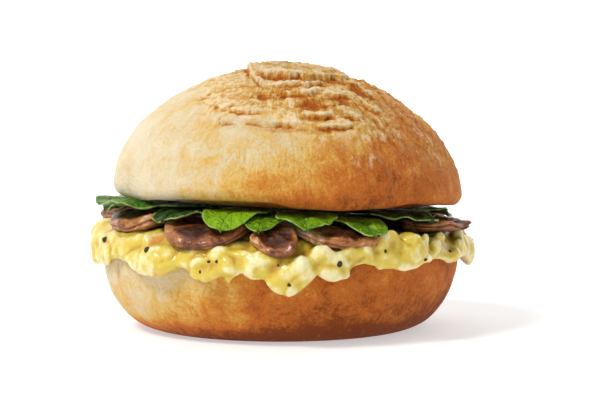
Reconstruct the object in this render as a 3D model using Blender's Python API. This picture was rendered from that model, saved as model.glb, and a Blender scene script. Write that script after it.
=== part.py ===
"""A breakfast sandwich: a round crusty roll cut in two, filled with scrambled egg,
fried mushroom slices and spinach leaves.

Metres, +Z up. The origin is the centre of the flat base, and -Y is the front.
A bearing is an angle round the roll from the front, growing towards +X.
"""

import math
import random

import bmesh
import bpy
from mathutils import Vector, noise

MM = 0.001

# Driving sizes of the roll
HEEL_RADIUS = 59.4 * MM
HEEL_HEIGHT = 28.0 * MM
HEEL_FOOT_RADIUS = 40.0 * MM
HEEL_RIM_ROUND = 2.5 * MM
HEEL_SHIFT_SHARE = 0.017
CROWN_RADIUS = 58.0 * MM
CROWN_DOME = 40.2 * MM
CROWN_DOME_POWER = 1.86
CROWN_RIM_ROUND = 3.0 * MM
CROWN_RIM_HEIGHT = 4.0 * MM
CROWN_OFFSET_X = 1.8 * MM

# How far the crown's lower edge curls up: bearing in degrees and rise
CROWN_RIM_RISES = (
    (-180, 1.5 * MM),
    (-150, 0.3 * MM),
    (-120, 1.4 * MM),
    (-85, 0.2 * MM),
    (-60, 0.0 * MM),
    (-45, 1.0 * MM),
    (-35, 1.9 * MM),
    (-15, 2.5 * MM),
    (-6, 2.5 * MM),
    (3, 1.0 * MM),
    (16, 0.6 * MM),
    (32, 1.3 * MM),
    (44, 2.5 * MM),
    (57, 1.9 * MM),
    (72, 1.0 * MM),
    (90, 0.0 * MM),
    (115, 1.3 * MM),
    (145, 0.3 * MM),
    (180, 1.5 * MM),
)
CROWN_CURL_HEIGHT = 12 * MM
LEAN = math.radians(2.0)

# The rough crust on top: torn ring plates round a point in front of the crown's middle, wider than deep
CRAG_CENTRE = (6.0 * MM, -11.0 * MM)
CRAG_WIDTH_SHARE = 0.65
CRAG_STEP = 12.0
CRAG_RISE = 2.1 * MM
CRAG_LIP_DISTANCE = 11.0
CRAG_FADE_START = 35.0
CRAG_FADE_END = 42.0

# Driving sizes of the filling, which lies on the heel in shells one over the other
EGG_TOP = 34.4 * MM
EGG_FLAT_RADIUS = 50.0 * MM
EGG_SHOULDER_WIDE = 14.0 * MM
EGG_SHOULDER_HIGH = 12.0 * MM
EGG_SKIRT_THICKNESS = 4.1 * MM
EGG_LIP_ROUND = 3.5 * MM
EGG_EDGE_HEIGHT = 25.0 * MM
SHELL_BEND = 13.3 * MM
GAP = 0.5 * MM
MUSHROOM_LIFT = 0.7 * MM
MUSHROOM_THICKNESS = 4.1 * MM
LEAF_THICKNESS = 0.6 * MM
LEAF_LOW_LIFT = 5.6 * MM
LEAF_HIGH_LIFT = 6.9 * MM
LEAF_STEM_DISTANCE = 9.0 * MM
LEAF_STEM_HALF_WIDTH = 1.2 * MM
CROWN_LIFT = 7.8 * MM

# How finely the solids are faceted
HEEL_SEGMENTS = 48
HEEL_SIDE_STEPS = 9
CROWN_SEGMENTS = 64
CROWN_DOME_STEPS = 19
EGG_SEGMENTS = 80
EGG_INSIDE_ROWS = 5
EGG_OUTSIDE_ROWS = 9
EGG_ROWS = 1 + EGG_INSIDE_ROWS + EGG_OUTSIDE_ROWS + 2
MUSHROOM_SEGMENTS = 16
LEAF_COLUMNS = 4
LEAF_ROWS = 8

# Egg tongues that hang over the heel: bearing in degrees, height of the tip, half width in degrees
EGG_TONGUES = (
    (-92, 21.5 * MM, 8),
    (-72, 22.0 * MM, 8),
    (-40, 21.0 * MM, 10),
    (-23.5, 21.0 * MM, 4.5),
    (-15.5, 20.6 * MM, 3),
    (-7, 22.0 * MM, 4.5),
    (2, 16.4 * MM, 7.5),
    (16, 21.2 * MM, 6),
    (39, 23.3 * MM, 10),
    (65, 23.4 * MM, 9),
    (90, 22.4 * MM, 9),
    (112, 20.0 * MM, 9),
    (131, 22.5 * MM, 7),
    (150, 17.0 * MM, 9),
    (172, 21.5 * MM, 8),
    (194, 18.0 * MM, 9),
    (214, 21.8 * MM, 7),
    (236, 19.0 * MM, 8),
    (254, 22.0 * MM, 6),
)

# Larger curds: bearing in degrees, angle on the egg's shoulder, rise, half width in degrees
EGG_CURDS = (
    (43, 55, 4.4 * MM, 5.5),
    (-81, 48, 2.8 * MM, 4.5),
    (-88, 6, -1.8 * MM, 11),
    (-52, 10, 1.2 * MM, 9),
    (66, 5, 1.2 * MM, 6),
    (93, 32, 1.4 * MM, 5),
    (122, 55, 2.6 * MM, 4),
    (214.5, 55, 2.6 * MM, 4),
    (160, 8, 1.4 * MM, 8),
    (232, 8, 1.4 * MM, 8),
)

# Mushroom slices at the rim: bearing, distance of the middle from the axis, width, turn in degrees,
# how stiffly the slice stands out over the egg's shoulder, and its length as a share of its width
RIM_MUSHROOMS = (
    (-61, 48.5 * MM, 29 * MM, 8, 0.0, 0.8),
    (-25.5, 52.8 * MM, 27 * MM, -6, 0.0, 0.8),
    (-3, 56.5 * MM, 13 * MM, -35, 0.0, 1.5),
    (20, 51.5 * MM, 29 * MM, 5, 0.0, 0.75),
    (72, 48.0 * MM, 29 * MM, -4, 1.2, 0.8),
    (107, 49.5 * MM, 22 * MM, 10, 0.0, 0.8),
    (137, 50.0 * MM, 24 * MM, -8, 0.0, 0.8),
    (167, 49.0 * MM, 25 * MM, 14, 0.0, 0.8),
    (198, 50.5 * MM, 24 * MM, -5, 0.0, 0.8),
    (231, 49.0 * MM, 24 * MM, 9, 0.0, 0.8),
    (263, 50.0 * MM, 25 * MM, -12, 0.0, 0.8),
)
INNER_MUSHROOMS = 4
INNER_MUSHROOM_DISTANCE = 19 * MM
INNER_MUSHROOM_WIDTH = 21 * MM

# Leaves: bearing, layer lift, distance of the tip, greatest half width, lift of the tip, bend to one side,
# and how pointed the leaf is
LEAVES = (
    (-62, LEAF_HIGH_LIFT, 59 * MM, 14.5 * MM, 4.2 * MM, -2.4 * MM, 0.8),
    (-15.5, LEAF_HIGH_LIFT, 61 * MM, 10 * MM, 0.0 * MM, 1.4 * MM, 1.5),
    (9, LEAF_HIGH_LIFT, 59 * MM, 11.5 * MM, 0.6 * MM, -1.8 * MM, 0.9),
    (49, LEAF_HIGH_LIFT, 57 * MM, 14.0 * MM, 0.8 * MM, 2.4 * MM, 0.8),
    (92, LEAF_HIGH_LIFT, 53 * MM, 14.0 * MM, 0.2 * MM, -1.5 * MM, 0.8),
    (134, LEAF_HIGH_LIFT, 60 * MM, 14.0 * MM, 0.4 * MM, 2.1 * MM, 0.8),
    (178, LEAF_HIGH_LIFT, 58 * MM, 14.0 * MM, 0.6 * MM, -2.1 * MM, 0.8),
    (219, LEAF_HIGH_LIFT, 60 * MM, 13.0 * MM, 0.3 * MM, 1.5 * MM, 1.0),
    (258, LEAF_HIGH_LIFT, 59 * MM, 13.0 * MM, 0.5 * MM, -1.2 * MM, 0.8),
    (-39, LEAF_LOW_LIFT, 58 * MM, 12.5 * MM, 1.0 * MM, 1.5 * MM, 0.8),
    (-6, LEAF_LOW_LIFT, 59 * MM, 7.5 * MM, 0.0 * MM, -0.6 * MM, 0.8),
    (26, LEAF_LOW_LIFT, 59.5 * MM, 9.5 * MM, 0.2 * MM, 1.6 * MM, 0.7),
    (70, LEAF_LOW_LIFT, 52 * MM, 13.0 * MM, 0.0 * MM, 1.8 * MM, 0.8),
    (113, LEAF_LOW_LIFT, 58 * MM, 13.0 * MM, 0.0 * MM, -1.8 * MM, 0.8),
    (156, LEAF_LOW_LIFT, 57 * MM, 13.0 * MM, 0.0 * MM, 1.2 * MM, 1.1),
    (199, LEAF_LOW_LIFT, 58 * MM, 12.0 * MM, 0.0 * MM, -1.8 * MM, 0.8),
    (239, LEAF_LOW_LIFT, 57 * MM, 12.0 * MM, 0.0 * MM, 1.5 * MM, 0.8),
    (279, LEAF_LOW_LIFT, 57 * MM, 12.0 * MM, 0.0 * MM, 1.2 * MM, 1.0),
)

# Flakes of coarse pepper on the front of the egg: bearing in degrees, height, size
PEPPER = (
    (-67, 30.8 * MM, 2.3 * MM),
    (-40.5, 29.8 * MM, 2.2 * MM),
    (-20.5, 27.2 * MM, 1.5 * MM),
    (-18, 27.4 * MM, 1.2 * MM),
    (-1, 26.4 * MM, 1.1 * MM),
    (16, 26.7 * MM, 1.9 * MM),
    (31, 29.8 * MM, 1.4 * MM),
    (45, 26.4 * MM, 1.9 * MM),
    (50, 31.3 * MM, 1.1 * MM),
    (61.5, 27.4 * MM, 1.7 * MM),
    (2, 20.6 * MM, 1.2 * MM),
    (-23, 24.0 * MM, 1.2 * MM),
)
BACK_PEPPER = 12
PEPPER_SUNK = 0.3


def smoothstep(low, high, value):
    """0 below low, 1 above high, and a smooth rise between them."""
    share = min(1.0, max(0.0, (value - low) / (high - low)))
    return share * share * (3 - 2 * share)


def bearing_of(x, y):
    return math.atan2(x, -y)


def at_bearing(radius, bearing, height):
    return Vector((radius * math.sin(bearing), -radius * math.cos(bearing), height))


def turned(bearing, centre):
    """How far a bearing is from another in degrees, from -180 to 180."""
    return (math.degrees(bearing) - centre + 180) % 360 - 180


def lean(x):
    """The crown leans a little to the right, and the filling under it with it."""
    return -x * math.tan(LEAN)


def leant(point, angle):
    """A point of the filling moved by the lean, which fades out down the egg's shoulder."""
    point.z += lean(point.x) * smoothstep(5, 50, math.degrees(angle))
    return point


def out_of_round(bearing):
    """The heel is no true circle: the share that its radius is of the named one."""
    uneven = 0.006 * math.sin(2 * bearing + 0.6) + 0.005 * math.sin(3 * bearing + 2.0)
    return 1 - HEEL_SHIFT_SHARE * math.sin(bearing) + uneven


def heel_side_radius(height):
    """Radius of the heel's side: a quarter ellipse from the foot up to the rim."""
    rise = HEEL_HEIGHT - HEEL_RIM_ROUND
    share = min(1.0, max(0.0, (rise - height) / rise))
    return HEEL_FOOT_RADIUS + (HEEL_RADIUS - HEEL_FOOT_RADIUS) * math.sqrt(1 - share * share)


def new_object(name, mesh, colour, roughness):
    """An object with a material of its own."""
    material = bpy.data.materials.new(name)
    material.use_nodes = True
    shader = material.node_tree.nodes["Principled BSDF"]
    shader.inputs["Base Color"].default_value = (*colour, 1)
    shader.inputs["Roughness"].default_value = roughness
    shader.inputs["Metallic"].default_value = 0
    mesh.materials.append(material)
    obj = bpy.data.objects.new(name, mesh)
    bpy.context.scene.collection.objects.link(obj)
    return obj


def mesh_from(bm, name):
    mesh = bpy.data.meshes.new(name)
    bm.to_mesh(mesh)
    bm.free()
    mesh.shade_smooth()
    return mesh


def face_outwards(bm):
    """Turns the faces of a closed solid outwards."""
    bmesh.ops.recalc_face_normals(bm, faces=bm.faces)
    if bm.calc_volume(signed=True) < 0:
        bmesh.ops.reverse_faces(bm, faces=bm.faces)


def spun(profile, segments):
    """A closed solid turned from a profile of (radius, height) that starts and ends on the axis."""
    bm = bmesh.new()
    points = [bm.verts.new((radius, 0, height)) for radius, height in profile]
    edges = [bm.edges.new(pair) for pair in zip(points, points[1:])]
    bmesh.ops.spin(
        bm,
        geom=points + edges,
        cent=(0, 0, 0),
        axis=(0, 0, 1),
        angle=2 * math.pi,
        steps=segments,
        use_merge=True,
    )
    bmesh.ops.remove_doubles(bm, verts=bm.verts, dist=1e-6)
    face_outwards(bm)
    return bm


def wrapped_grid(columns, rows, place):
    """A closed solid from a grid whose columns go once round and whose first and last rows close on a pole."""
    bm = bmesh.new()
    bmesh.ops.create_grid(bm, x_segments=columns, y_segments=rows, size=0.5)
    for vert in bm.verts:
        vert.co = place(vert.co.x + 0.5, vert.co.y + 0.5)
    bmesh.ops.remove_doubles(bm, verts=bm.verts, dist=1e-6)
    bmesh.ops.dissolve_degenerate(bm, edges=bm.edges, dist=1e-7)
    face_outwards(bm)
    return bm


def heel():
    """The lower half of the roll: flat foot, round side, flat cut face."""
    rise = HEEL_HEIGHT - HEEL_RIM_ROUND
    profile = [(0, 0), (HEEL_FOOT_RADIUS * 0.5, 0)]
    for step in range(HEEL_SIDE_STEPS + 1):
        angle = math.radians(90) * step / HEEL_SIDE_STEPS
        reach = (HEEL_RADIUS - HEEL_FOOT_RADIUS) * math.sin(angle)
        profile.append((HEEL_FOOT_RADIUS + reach, rise * (1 - math.cos(angle))))
    for angle in map(math.radians, (30, 60, 90)):
        inset = HEEL_RIM_ROUND * (1 - math.cos(angle))
        profile.append((HEEL_RADIUS - inset, rise + HEEL_RIM_ROUND * math.sin(angle)))
    profile += [(HEEL_RADIUS * 0.5, HEEL_HEIGHT), (0, HEEL_HEIGHT)]
    bm = spun(profile, HEEL_SEGMENTS)
    for vert in bm.verts:
        share = out_of_round(bearing_of(vert.co.x, vert.co.y))
        vert.co.x *= share
        vert.co.y *= share
    return new_object("heel", mesh_from(bm, "heel"), (0.62, 0.31, 0.11), 0.7)


def crag(x, y):
    """Relief of the rough torn crust on top: plates that rise outwards and end in a step."""
    away = math.hypot(CRAG_WIDTH_SHARE * (x - CRAG_CENTRE[0]), y - CRAG_CENTRE[1]) / MM
    spot = Vector((x, y, 0)) / MM
    away += 3.0 * noise.noise(spot / 24) + 2.0 * noise.noise(spot / 9 + Vector((7, 3, 1)))
    phase = away / CRAG_STEP
    ramp = (phase - math.floor(phase)) ** 1.4
    strength = 0.45 + 1.2 * math.exp(-(((away - CRAG_LIP_DISTANCE) / 6) ** 2))
    strength *= 1 - smoothstep(CRAG_FADE_START, CRAG_FADE_END, away)
    unevenness = 0.8 + 0.4 * noise.noise(spot / 15 + Vector((2, 9, 4)))
    return CRAG_RISE * (ramp - 0.2) * strength * unevenness


def rim_rise(bearing, radius, above_cut):
    """How far the crown's crust curls up at a bearing, at a radius and a height over the cut face."""
    degrees = turned(bearing, 0)
    rise = 0.0
    for (first, low), (second, high) in zip(CROWN_RIM_RISES, CROWN_RIM_RISES[1:]):
        if first <= degrees < second:
            rise = low + (high - low) * smoothstep(first, second, degrees)
    outer = smoothstep(0.76 * CROWN_RADIUS, 0.92 * CROWN_RADIUS, radius)
    return rise * outer * (1 - smoothstep(0, CROWN_CURL_HEIGHT, above_cut))


def crown():
    """The upper half of the roll: a flat cut face and a dome with a craggy top."""
    cut = EGG_TOP + CROWN_LIFT
    waist = cut + CROWN_RIM_HEIGHT
    profile = [(0, cut), (CROWN_RADIUS * 0.4, cut), (CROWN_RADIUS * 0.75, cut)]
    for angle in map(math.radians, (-90, -60, -30)):
        inset = CROWN_RIM_ROUND * (1 - math.cos(angle))
        profile.append((CROWN_RADIUS - inset, waist + CROWN_RIM_HEIGHT * math.sin(angle)))
    bend = 2 / CROWN_DOME_POWER
    for step in range(CROWN_DOME_STEPS):
        angle = math.radians(90) * (step / CROWN_DOME_STEPS) ** 0.8
        profile.append((CROWN_RADIUS * math.cos(angle) ** bend, waist + CROWN_DOME * math.sin(angle) ** bend))
    profile.append((0, waist + CROWN_DOME))
    bm = spun(profile, CROWN_SEGMENTS)
    for vert in bm.verts:
        x, y, z = vert.co
        bearing = bearing_of(x, y)
        upper = smoothstep(waist, waist + CROWN_DOME * 0.3, z)
        share = 1 + 0.006 * math.sin(2 * bearing + 2.2) + 0.005 * math.sin(3 * bearing)
        outward = Vector((x, y, max(0.0, z - waist) * 1.8)).normalized()
        curl = rim_rise(bearing, math.hypot(x, y), z - cut)
        vert.co = Vector((x * share, y * share, z + curl)) + outward * crag(x, y) * upper
        vert.co.z += lean(vert.co.x)
        vert.co.x += CROWN_OFFSET_X
    return new_object("crown", mesh_from(bm, "crown"), (0.72, 0.42, 0.17), 0.75)


def tongue_tip(bearing):
    """Height of the egg's lower edge at a bearing."""
    height = EGG_EDGE_HEIGHT
    for centre, tip, half_width in EGG_TONGUES:
        away = abs(turned(bearing, centre)) / half_width
        if away < 1.7:
            height = min(height, EGG_EDGE_HEIGHT + (tip - EGG_EDGE_HEIGHT) * math.exp(-1.6 * away**2.4))
    return height


def large_curds(bearing, angle):
    """How far the larger curds stand out at a bearing, at an angle on the egg's shoulder."""
    rise = 0.0
    for centre, middle, most, half_width in EGG_CURDS:
        away = turned(bearing, centre) / half_width
        rise += most * math.exp(-away * away) * math.exp(-(((math.degrees(angle) - middle) / 18) ** 2))
    return rise


def small_curds(bearing, angle):
    """Relief of the egg: soft lumps on the skirt, none under the mushroom slices."""
    spot = at_bearing(62.0, bearing, 0) + Vector((0, 0, math.degrees(angle) * 0.3))
    lump = noise.noise(spot / 7.5) * 1.5 + noise.noise(spot / 4.0 + Vector((5, 5, 5))) * 0.6
    shown = 1 - smoothstep(20, 50, math.degrees(angle))
    return lump * MM * shown


def shoulder_angle(height):
    """Angle on the egg's shoulder at a height: 90 degrees is the flat top."""
    return math.asin(max(-1.0, 1 - (EGG_TOP - height) / EGG_SHOULDER_HIGH))


def egg_outside(bearing, angle):
    """A point of the egg's outer side, at an angle on its shoulder."""
    tip = tongue_tip(bearing)
    lowest = shoulder_angle(tip)
    height = EGG_TOP - EGG_SHOULDER_HIGH * (1 - math.sin(angle))
    inside = heel_side_radius(height) + GAP
    if angle > 0:
        full = EGG_FLAT_RADIUS + EGG_SHOULDER_WIDE * math.cos(angle)
    else:
        full = inside + EGG_SKIRT_THICKNESS
    rising = min(1.0, max(0.0, (height - tip) / EGG_LIP_ROUND))
    lip = math.sqrt(1 - (1 - rising) ** 2)
    thick = (full - inside) * lip
    bulge = small_curds(bearing, angle) * lip + large_curds(bearing, angle) * lip
    radius = inside + thick + bulge * math.cos(angle)
    height += bulge * math.sin(angle)
    share = (angle - lowest) / (math.radians(90) - lowest)
    radius *= 1 + (out_of_round(bearing) - 1) * (1 - share)
    return leant(at_bearing(radius, bearing, height), angle)


def egg_inside(bearing, share):
    """A point of the egg's inner side, on the heel: share 0 is the rim of the cut face, 1 the tip of the skirt."""
    rim_share = 2 / EGG_INSIDE_ROWS
    if share < rim_share:
        angle = math.radians(90) * (1 - share / rim_share)
        round_over = HEEL_RIM_ROUND + GAP
        radius = HEEL_RADIUS - HEEL_RIM_ROUND + round_over * math.cos(angle)
        height = HEEL_HEIGHT - HEEL_RIM_ROUND + round_over * math.sin(angle)
    else:
        top = HEEL_HEIGHT - HEEL_RIM_ROUND
        height = top + (tongue_tip(bearing) - top) * (share - rim_share) / (1 - rim_share)
        radius = heel_side_radius(height) + GAP
    return at_bearing(radius * out_of_round(bearing), bearing, height)


def egg_point(around, along):
    """The egg's surface: along 0 is the middle of its underside, 1 the middle of its top."""
    bearing = 2 * math.pi * around
    row = along * EGG_ROWS
    if row < 1.5:
        radius = (HEEL_RADIUS - HEEL_RIM_ROUND) * row
        return at_bearing(radius * out_of_round(bearing), bearing, HEEL_HEIGHT + GAP)
    row -= 1
    if row < EGG_INSIDE_ROWS + 0.5:
        return egg_inside(bearing, row / EGG_INSIDE_ROWS)
    row -= EGG_INSIDE_ROWS
    if row < EGG_OUTSIDE_ROWS + 0.5:
        lowest = shoulder_angle(tongue_tip(bearing))
        return egg_outside(bearing, lowest + (math.radians(90) - lowest) * row / EGG_OUTSIDE_ROWS)
    point = at_bearing(EGG_FLAT_RADIUS * (EGG_OUTSIDE_ROWS + 2 - row) / 2, bearing, EGG_TOP)
    point.z += lean(point.x)
    return point


def join_collection(obj, pieces):
    """Fuses the pieces to obj with one Boolean union, and removes them."""
    collection = bpy.data.collections.new("fused")
    bpy.context.scene.collection.children.link(collection)
    for piece in pieces:
        bpy.context.scene.collection.objects.unlink(piece)
        collection.objects.link(piece)
    union = obj.modifiers.new("fused", "BOOLEAN")
    union.operation = "UNION"
    union.operand_type = "COLLECTION"
    union.collection = collection
    union.solver = "EXACT"
    graph = bpy.context.evaluated_depsgraph_get()
    mesh = bpy.data.meshes.new_from_object(obj.evaluated_get(graph))
    obj.modifiers.clear()
    obj.data = mesh
    for piece in pieces:
        bpy.data.objects.remove(piece)
    bpy.data.collections.remove(collection)


def pepper_flake(name, bearing, height, size, draw):
    """An uneven flake of pepper, mostly sunk in the egg's skirt."""
    point = egg_outside(math.radians(bearing), shoulder_angle(height))
    point -= PEPPER_SUNK * size * Vector((point.x, point.y, 0)).normalized()
    bm = bmesh.new()
    bmesh.ops.create_icosphere(bm, subdivisions=1, radius=size / 2)
    for vert in bm.verts:
        vert.co *= 0.8 + 0.4 * draw.random()
    bmesh.ops.translate(bm, verts=bm.verts, vec=point)
    return new_object(name, mesh_from(bm, name), (0.03, 0.02, 0.015), 0.6)


def egg():
    """Scrambled egg: a layer through the roll whose skirt hangs over the heel, with pepper fused on."""
    bm = wrapped_grid(EGG_SEGMENTS, EGG_ROWS, egg_point)
    obj = new_object("egg", mesh_from(bm, "egg"), (0.86, 0.66, 0.2), 0.4)
    draw = random.Random(11)
    places = list(PEPPER)
    for index in range(BACK_PEPPER):
        bearing = 85 + 190 * (index + 0.7 * draw.random()) / BACK_PEPPER
        places.append((bearing, (26 + 4.5 * draw.random()) * MM, (1.2 + 0.7 * draw.random()) * MM))
    flakes = [pepper_flake(f"pepper_{index}", *place, draw) for index, place in enumerate(places)]
    join_collection(obj, flakes)
    return obj


def shell(across, out, lift):
    """A point over the egg: across and out are places on the shell rolled out flat, lift the distance from the egg."""
    distance = math.hypot(across, out)
    bearing = math.atan2(across, out)
    angle = math.radians(90) - max(0.0, distance - EGG_FLAT_RADIUS) / SHELL_BEND
    normal = Vector((math.cos(angle) / EGG_SHOULDER_WIDE, math.sin(angle) / EGG_SHOULDER_HIGH)).normalized()
    radius = distance
    if distance > EGG_FLAT_RADIUS:
        radius = EGG_FLAT_RADIUS + EGG_SHOULDER_WIDE * math.cos(angle)
    height = EGG_TOP - EGG_SHOULDER_HIGH * (1 - math.sin(angle))
    return leant(at_bearing(radius + normal.x * lift, bearing, height + normal.y * lift), angle)


def mushroom_reach(width, length, angle):
    """From the middle of a slice to its edge: a cap outwards and a stem inwards."""
    cap = 0.5 * width * length / math.hypot(length * math.cos(angle), math.sin(angle))
    inwards = max(0.0, -math.sin(angle))
    gills = cap * (1 - 0.4 * smoothstep(0.2, 0.8, inwards))
    return max(gills, 0.48 * width * smoothstep(0.9, 0.99, inwards))


def mushroom(name, bearing, distance, width, turn, stiffness, length):
    """A fried mushroom slice lying on the egg, bent over its shoulder."""
    start = math.radians(bearing)
    yaw = math.radians(turn)
    rings = ((0.0, 0.0), (0.45, 0.0), (0.92, 0.0), (1.0, 0.5), (0.9, 1.0), (0.45, 0.9), (0.0, 0.85))

    def place(around, along):
        angle = 2 * math.pi * around
        share, rise = rings[round(along * (len(rings) - 1))]
        reach = mushroom_reach(width, length, angle) * share
        flat_across = reach * math.cos(angle + yaw)
        flat_out = reach * math.sin(angle + yaw) + distance
        turned_across = flat_across * math.cos(start) + flat_out * math.sin(start)
        turned_out = flat_out * math.cos(start) - flat_across * math.sin(start)
        over = max(0.0, math.hypot(turned_across, turned_out) - EGG_FLAT_RADIUS)
        lift = MUSHROOM_LIFT + rise * MUSHROOM_THICKNESS + stiffness * over * over / (2 * SHELL_BEND)
        return shell(turned_across, turned_out, lift)

    bm = wrapped_grid(MUSHROOM_SEGMENTS, len(rings) - 1, place)
    return new_object(name, mesh_from(bm, name), (0.25, 0.12, 0.07), 0.35)


def leaf_wave(across, out):
    """The waves of the leaf layers, alike in both so that the layers nest."""
    spot = Vector((across, out, 0)) / MM
    size = 0.15 + 0.8 * smoothstep(50, 62, spot.length)
    return size * MM * (noise.noise(spot / 8.0) + 0.4 * noise.noise(spot / 4.5 + Vector((3, 8, 2))))


def leaf_fan(bearing, lift):
    """Tangent of half the angle that a leaf has to itself between its neighbours in its layer."""
    others = [place[0] for place in LEAVES if place[1] == lift and place[0] != bearing]
    nearest = min(abs(turned(math.radians(bearing), other)) for other in others)
    return math.tan(math.radians(nearest / 2 - 1.2))


def leaf_outline(share, tip, widest, point):
    """Distance from the axis and half width of a leaf, from its stem, share 0, to its round tip, share 1."""
    widest_at = LEAF_STEM_DISTANCE + 0.6 * (tip - LEAF_STEM_DISTANCE)
    if share < 0.5:
        swell = math.sin(math.pi * share) ** 1.2
        out = LEAF_STEM_DISTANCE + (widest_at - LEAF_STEM_DISTANCE) * share / 0.5
        return out, LEAF_STEM_HALF_WIDTH + (widest - LEAF_STEM_HALF_WIDTH) * swell
    angle = math.radians(84) * (share - 0.5) / 0.5
    return widest_at + (tip - widest_at) * math.sin(angle), widest * math.cos(angle) ** point


def leaf(name, bearing, lift, tip, widest, tip_lift, bend, point):
    """A spinach leaf from near the axis out past the rim: a thin wavy solid."""
    bm = bmesh.new()
    bmesh.ops.create_grid(bm, x_segments=LEAF_COLUMNS, y_segments=LEAF_ROWS, size=0.5)
    start = math.radians(bearing)
    fan = leaf_fan(bearing, lift)
    for vert in bm.verts:
        side = vert.co.x * 2
        out, half_width = leaf_outline(vert.co.y + 0.5, tip, widest, point)
        room = out * fan
        half_width = min(half_width, 0.95 * room)
        spare = room - half_width
        across = side * half_width + min(spare, max(-spare, bend * (out / tip) ** 2))
        turned_across = across * math.cos(start) + out * math.sin(start)
        turned_out = out * math.cos(start) - across * math.sin(start)
        height = lift + leaf_wave(turned_across, turned_out)
        height += tip_lift * smoothstep(50 * MM, 60 * MM, out)
        vert.co = shell(turned_across, turned_out, height)
    bmesh.ops.triangulate(bm, faces=bm.faces)
    obj = new_object(name, mesh_from(bm, name), (0.05, 0.16, 0.02), 0.4)
    solid = obj.modifiers.new("thickness", "SOLIDIFY")
    solid.thickness = LEAF_THICKNESS
    solid.offset = 0
    return obj


def main():
    for obj in list(bpy.data.objects):
        bpy.data.objects.remove(obj)
    heel()
    egg()
    for index, place in enumerate(RIM_MUSHROOMS, 1):
        mushroom(f"mushroom_{index:02d}", *place)
    for index in range(INNER_MUSHROOMS):
        bearing = 45 + 360 * index / INNER_MUSHROOMS
        name = f"mushroom_{len(RIM_MUSHROOMS) + index + 1:02d}"
        mushroom(name, bearing, INNER_MUSHROOM_DISTANCE, INNER_MUSHROOM_WIDTH, 20, 0.0, 0.8)
    for index, place in enumerate(LEAVES, 1):
        leaf(f"leaf_{index:02d}", *place)
    crown()


main()
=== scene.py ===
import math
import random

import bmesh
import bpy
from bpy.props import FloatProperty, FloatVectorProperty, PointerProperty
from mathutils.bvhtree import BVHTree
from mathutils import Matrix, Vector, noise


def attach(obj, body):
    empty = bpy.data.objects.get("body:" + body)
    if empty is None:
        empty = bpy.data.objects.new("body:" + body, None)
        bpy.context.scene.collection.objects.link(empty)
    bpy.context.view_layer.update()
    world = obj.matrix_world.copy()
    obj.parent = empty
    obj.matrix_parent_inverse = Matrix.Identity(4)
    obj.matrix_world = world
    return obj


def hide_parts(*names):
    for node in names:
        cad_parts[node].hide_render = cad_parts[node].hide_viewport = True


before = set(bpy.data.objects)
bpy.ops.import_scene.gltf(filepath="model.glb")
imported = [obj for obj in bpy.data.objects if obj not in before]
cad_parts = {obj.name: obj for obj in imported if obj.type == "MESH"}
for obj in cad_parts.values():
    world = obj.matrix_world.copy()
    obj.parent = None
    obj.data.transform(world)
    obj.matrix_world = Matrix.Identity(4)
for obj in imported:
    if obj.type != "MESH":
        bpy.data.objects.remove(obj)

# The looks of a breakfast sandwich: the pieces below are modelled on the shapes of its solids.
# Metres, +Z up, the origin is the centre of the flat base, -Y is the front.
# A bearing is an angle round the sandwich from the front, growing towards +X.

bl_info = {
    "name": "Breakfast sandwich",
    "version": (1, 0, 0),
    "blender": (4, 5, 0),
    "location": "3D View > Sidebar > Sandwich",
    "description": "Dresses the solids of a breakfast sandwich",
    "category": "Object",
}

MM = 0.001
RIGHT_ANGLE = math.radians(90)
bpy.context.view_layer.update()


def in_metres(columns, *rows):
    """The rows of a table with some of its columns, counted from 0, turned from millimetres to metres."""
    table = []
    for row in rows:
        table.append(tuple(value * MM if place in columns else value for place, value in enumerate(row)))
    return tuple(table)


# The roll, as in the solids
HEEL_RADIUS = 59.4 * MM
HEEL_HEIGHT = 28.0 * MM
HEEL_FOOT_RADIUS = 40.0 * MM
HEEL_RIM_ROUND = 2.5 * MM
HEEL_SHIFT_SHARE = 0.017
CROWN_RADIUS = 58.0 * MM
CROWN_DOME = 40.2 * MM
CROWN_DOME_POWER = 1.86
CROWN_RIM_ROUND = 3.0 * MM
CROWN_RIM_HEIGHT = 4.0 * MM
CROWN_OFFSET_X = 1.8 * MM

# How far the crown's lower edge curls up: bearing in degrees and rise in mm
CROWN_RIM_RISES = in_metres(
    (1,),
    (-180, 1.5), (-150, 0.3), (-120, 1.4), (-85, 0.2), (-60, 0.0), (-45, 1.0), (-35, 1.9), (-15, 2.5),
    (-6, 2.5), (3, 1.0), (16, 0.6), (32, 1.3), (44, 2.5), (57, 1.9), (72, 1.0), (90, 0.0), (115, 1.3),
    (145, 0.3), (180, 1.5),
)
CROWN_CURL_HEIGHT = 12 * MM
LEAN = math.radians(2.0)
CRAG_CENTRE = (6.0 * MM, -11.0 * MM)
CRAG_WIDTH_SHARE = 0.65
CRAG_STEP = 12.0
CRAG_RISE = 2.1 * MM
CRAG_LIP_DISTANCE = 11.0
CRAG_FADE_START = 35.0
CRAG_FADE_END = 42.0

# What the torn crust has beyond the solids: width of the strong rings and step between the thin sheets
# in mm, where in its step a ring is highest, and how much of the rings is left at the front
CRAG_LIP_WIDTH = 6
SHEET_STEP = 5.2
TOOTH_PEAK = 0.86
RINGS_AT_FRONT = 0.35

# Ragged edges of the torn plates: weight, width and height in mm, and seed of each noise
RAGGED_EDGE = (
    (1.0, 4.0, 3.4, 4),
    (0.45, 1.5, 2.4, 1),
    (0.25, 0.8, 1.2, 7),
)

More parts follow.
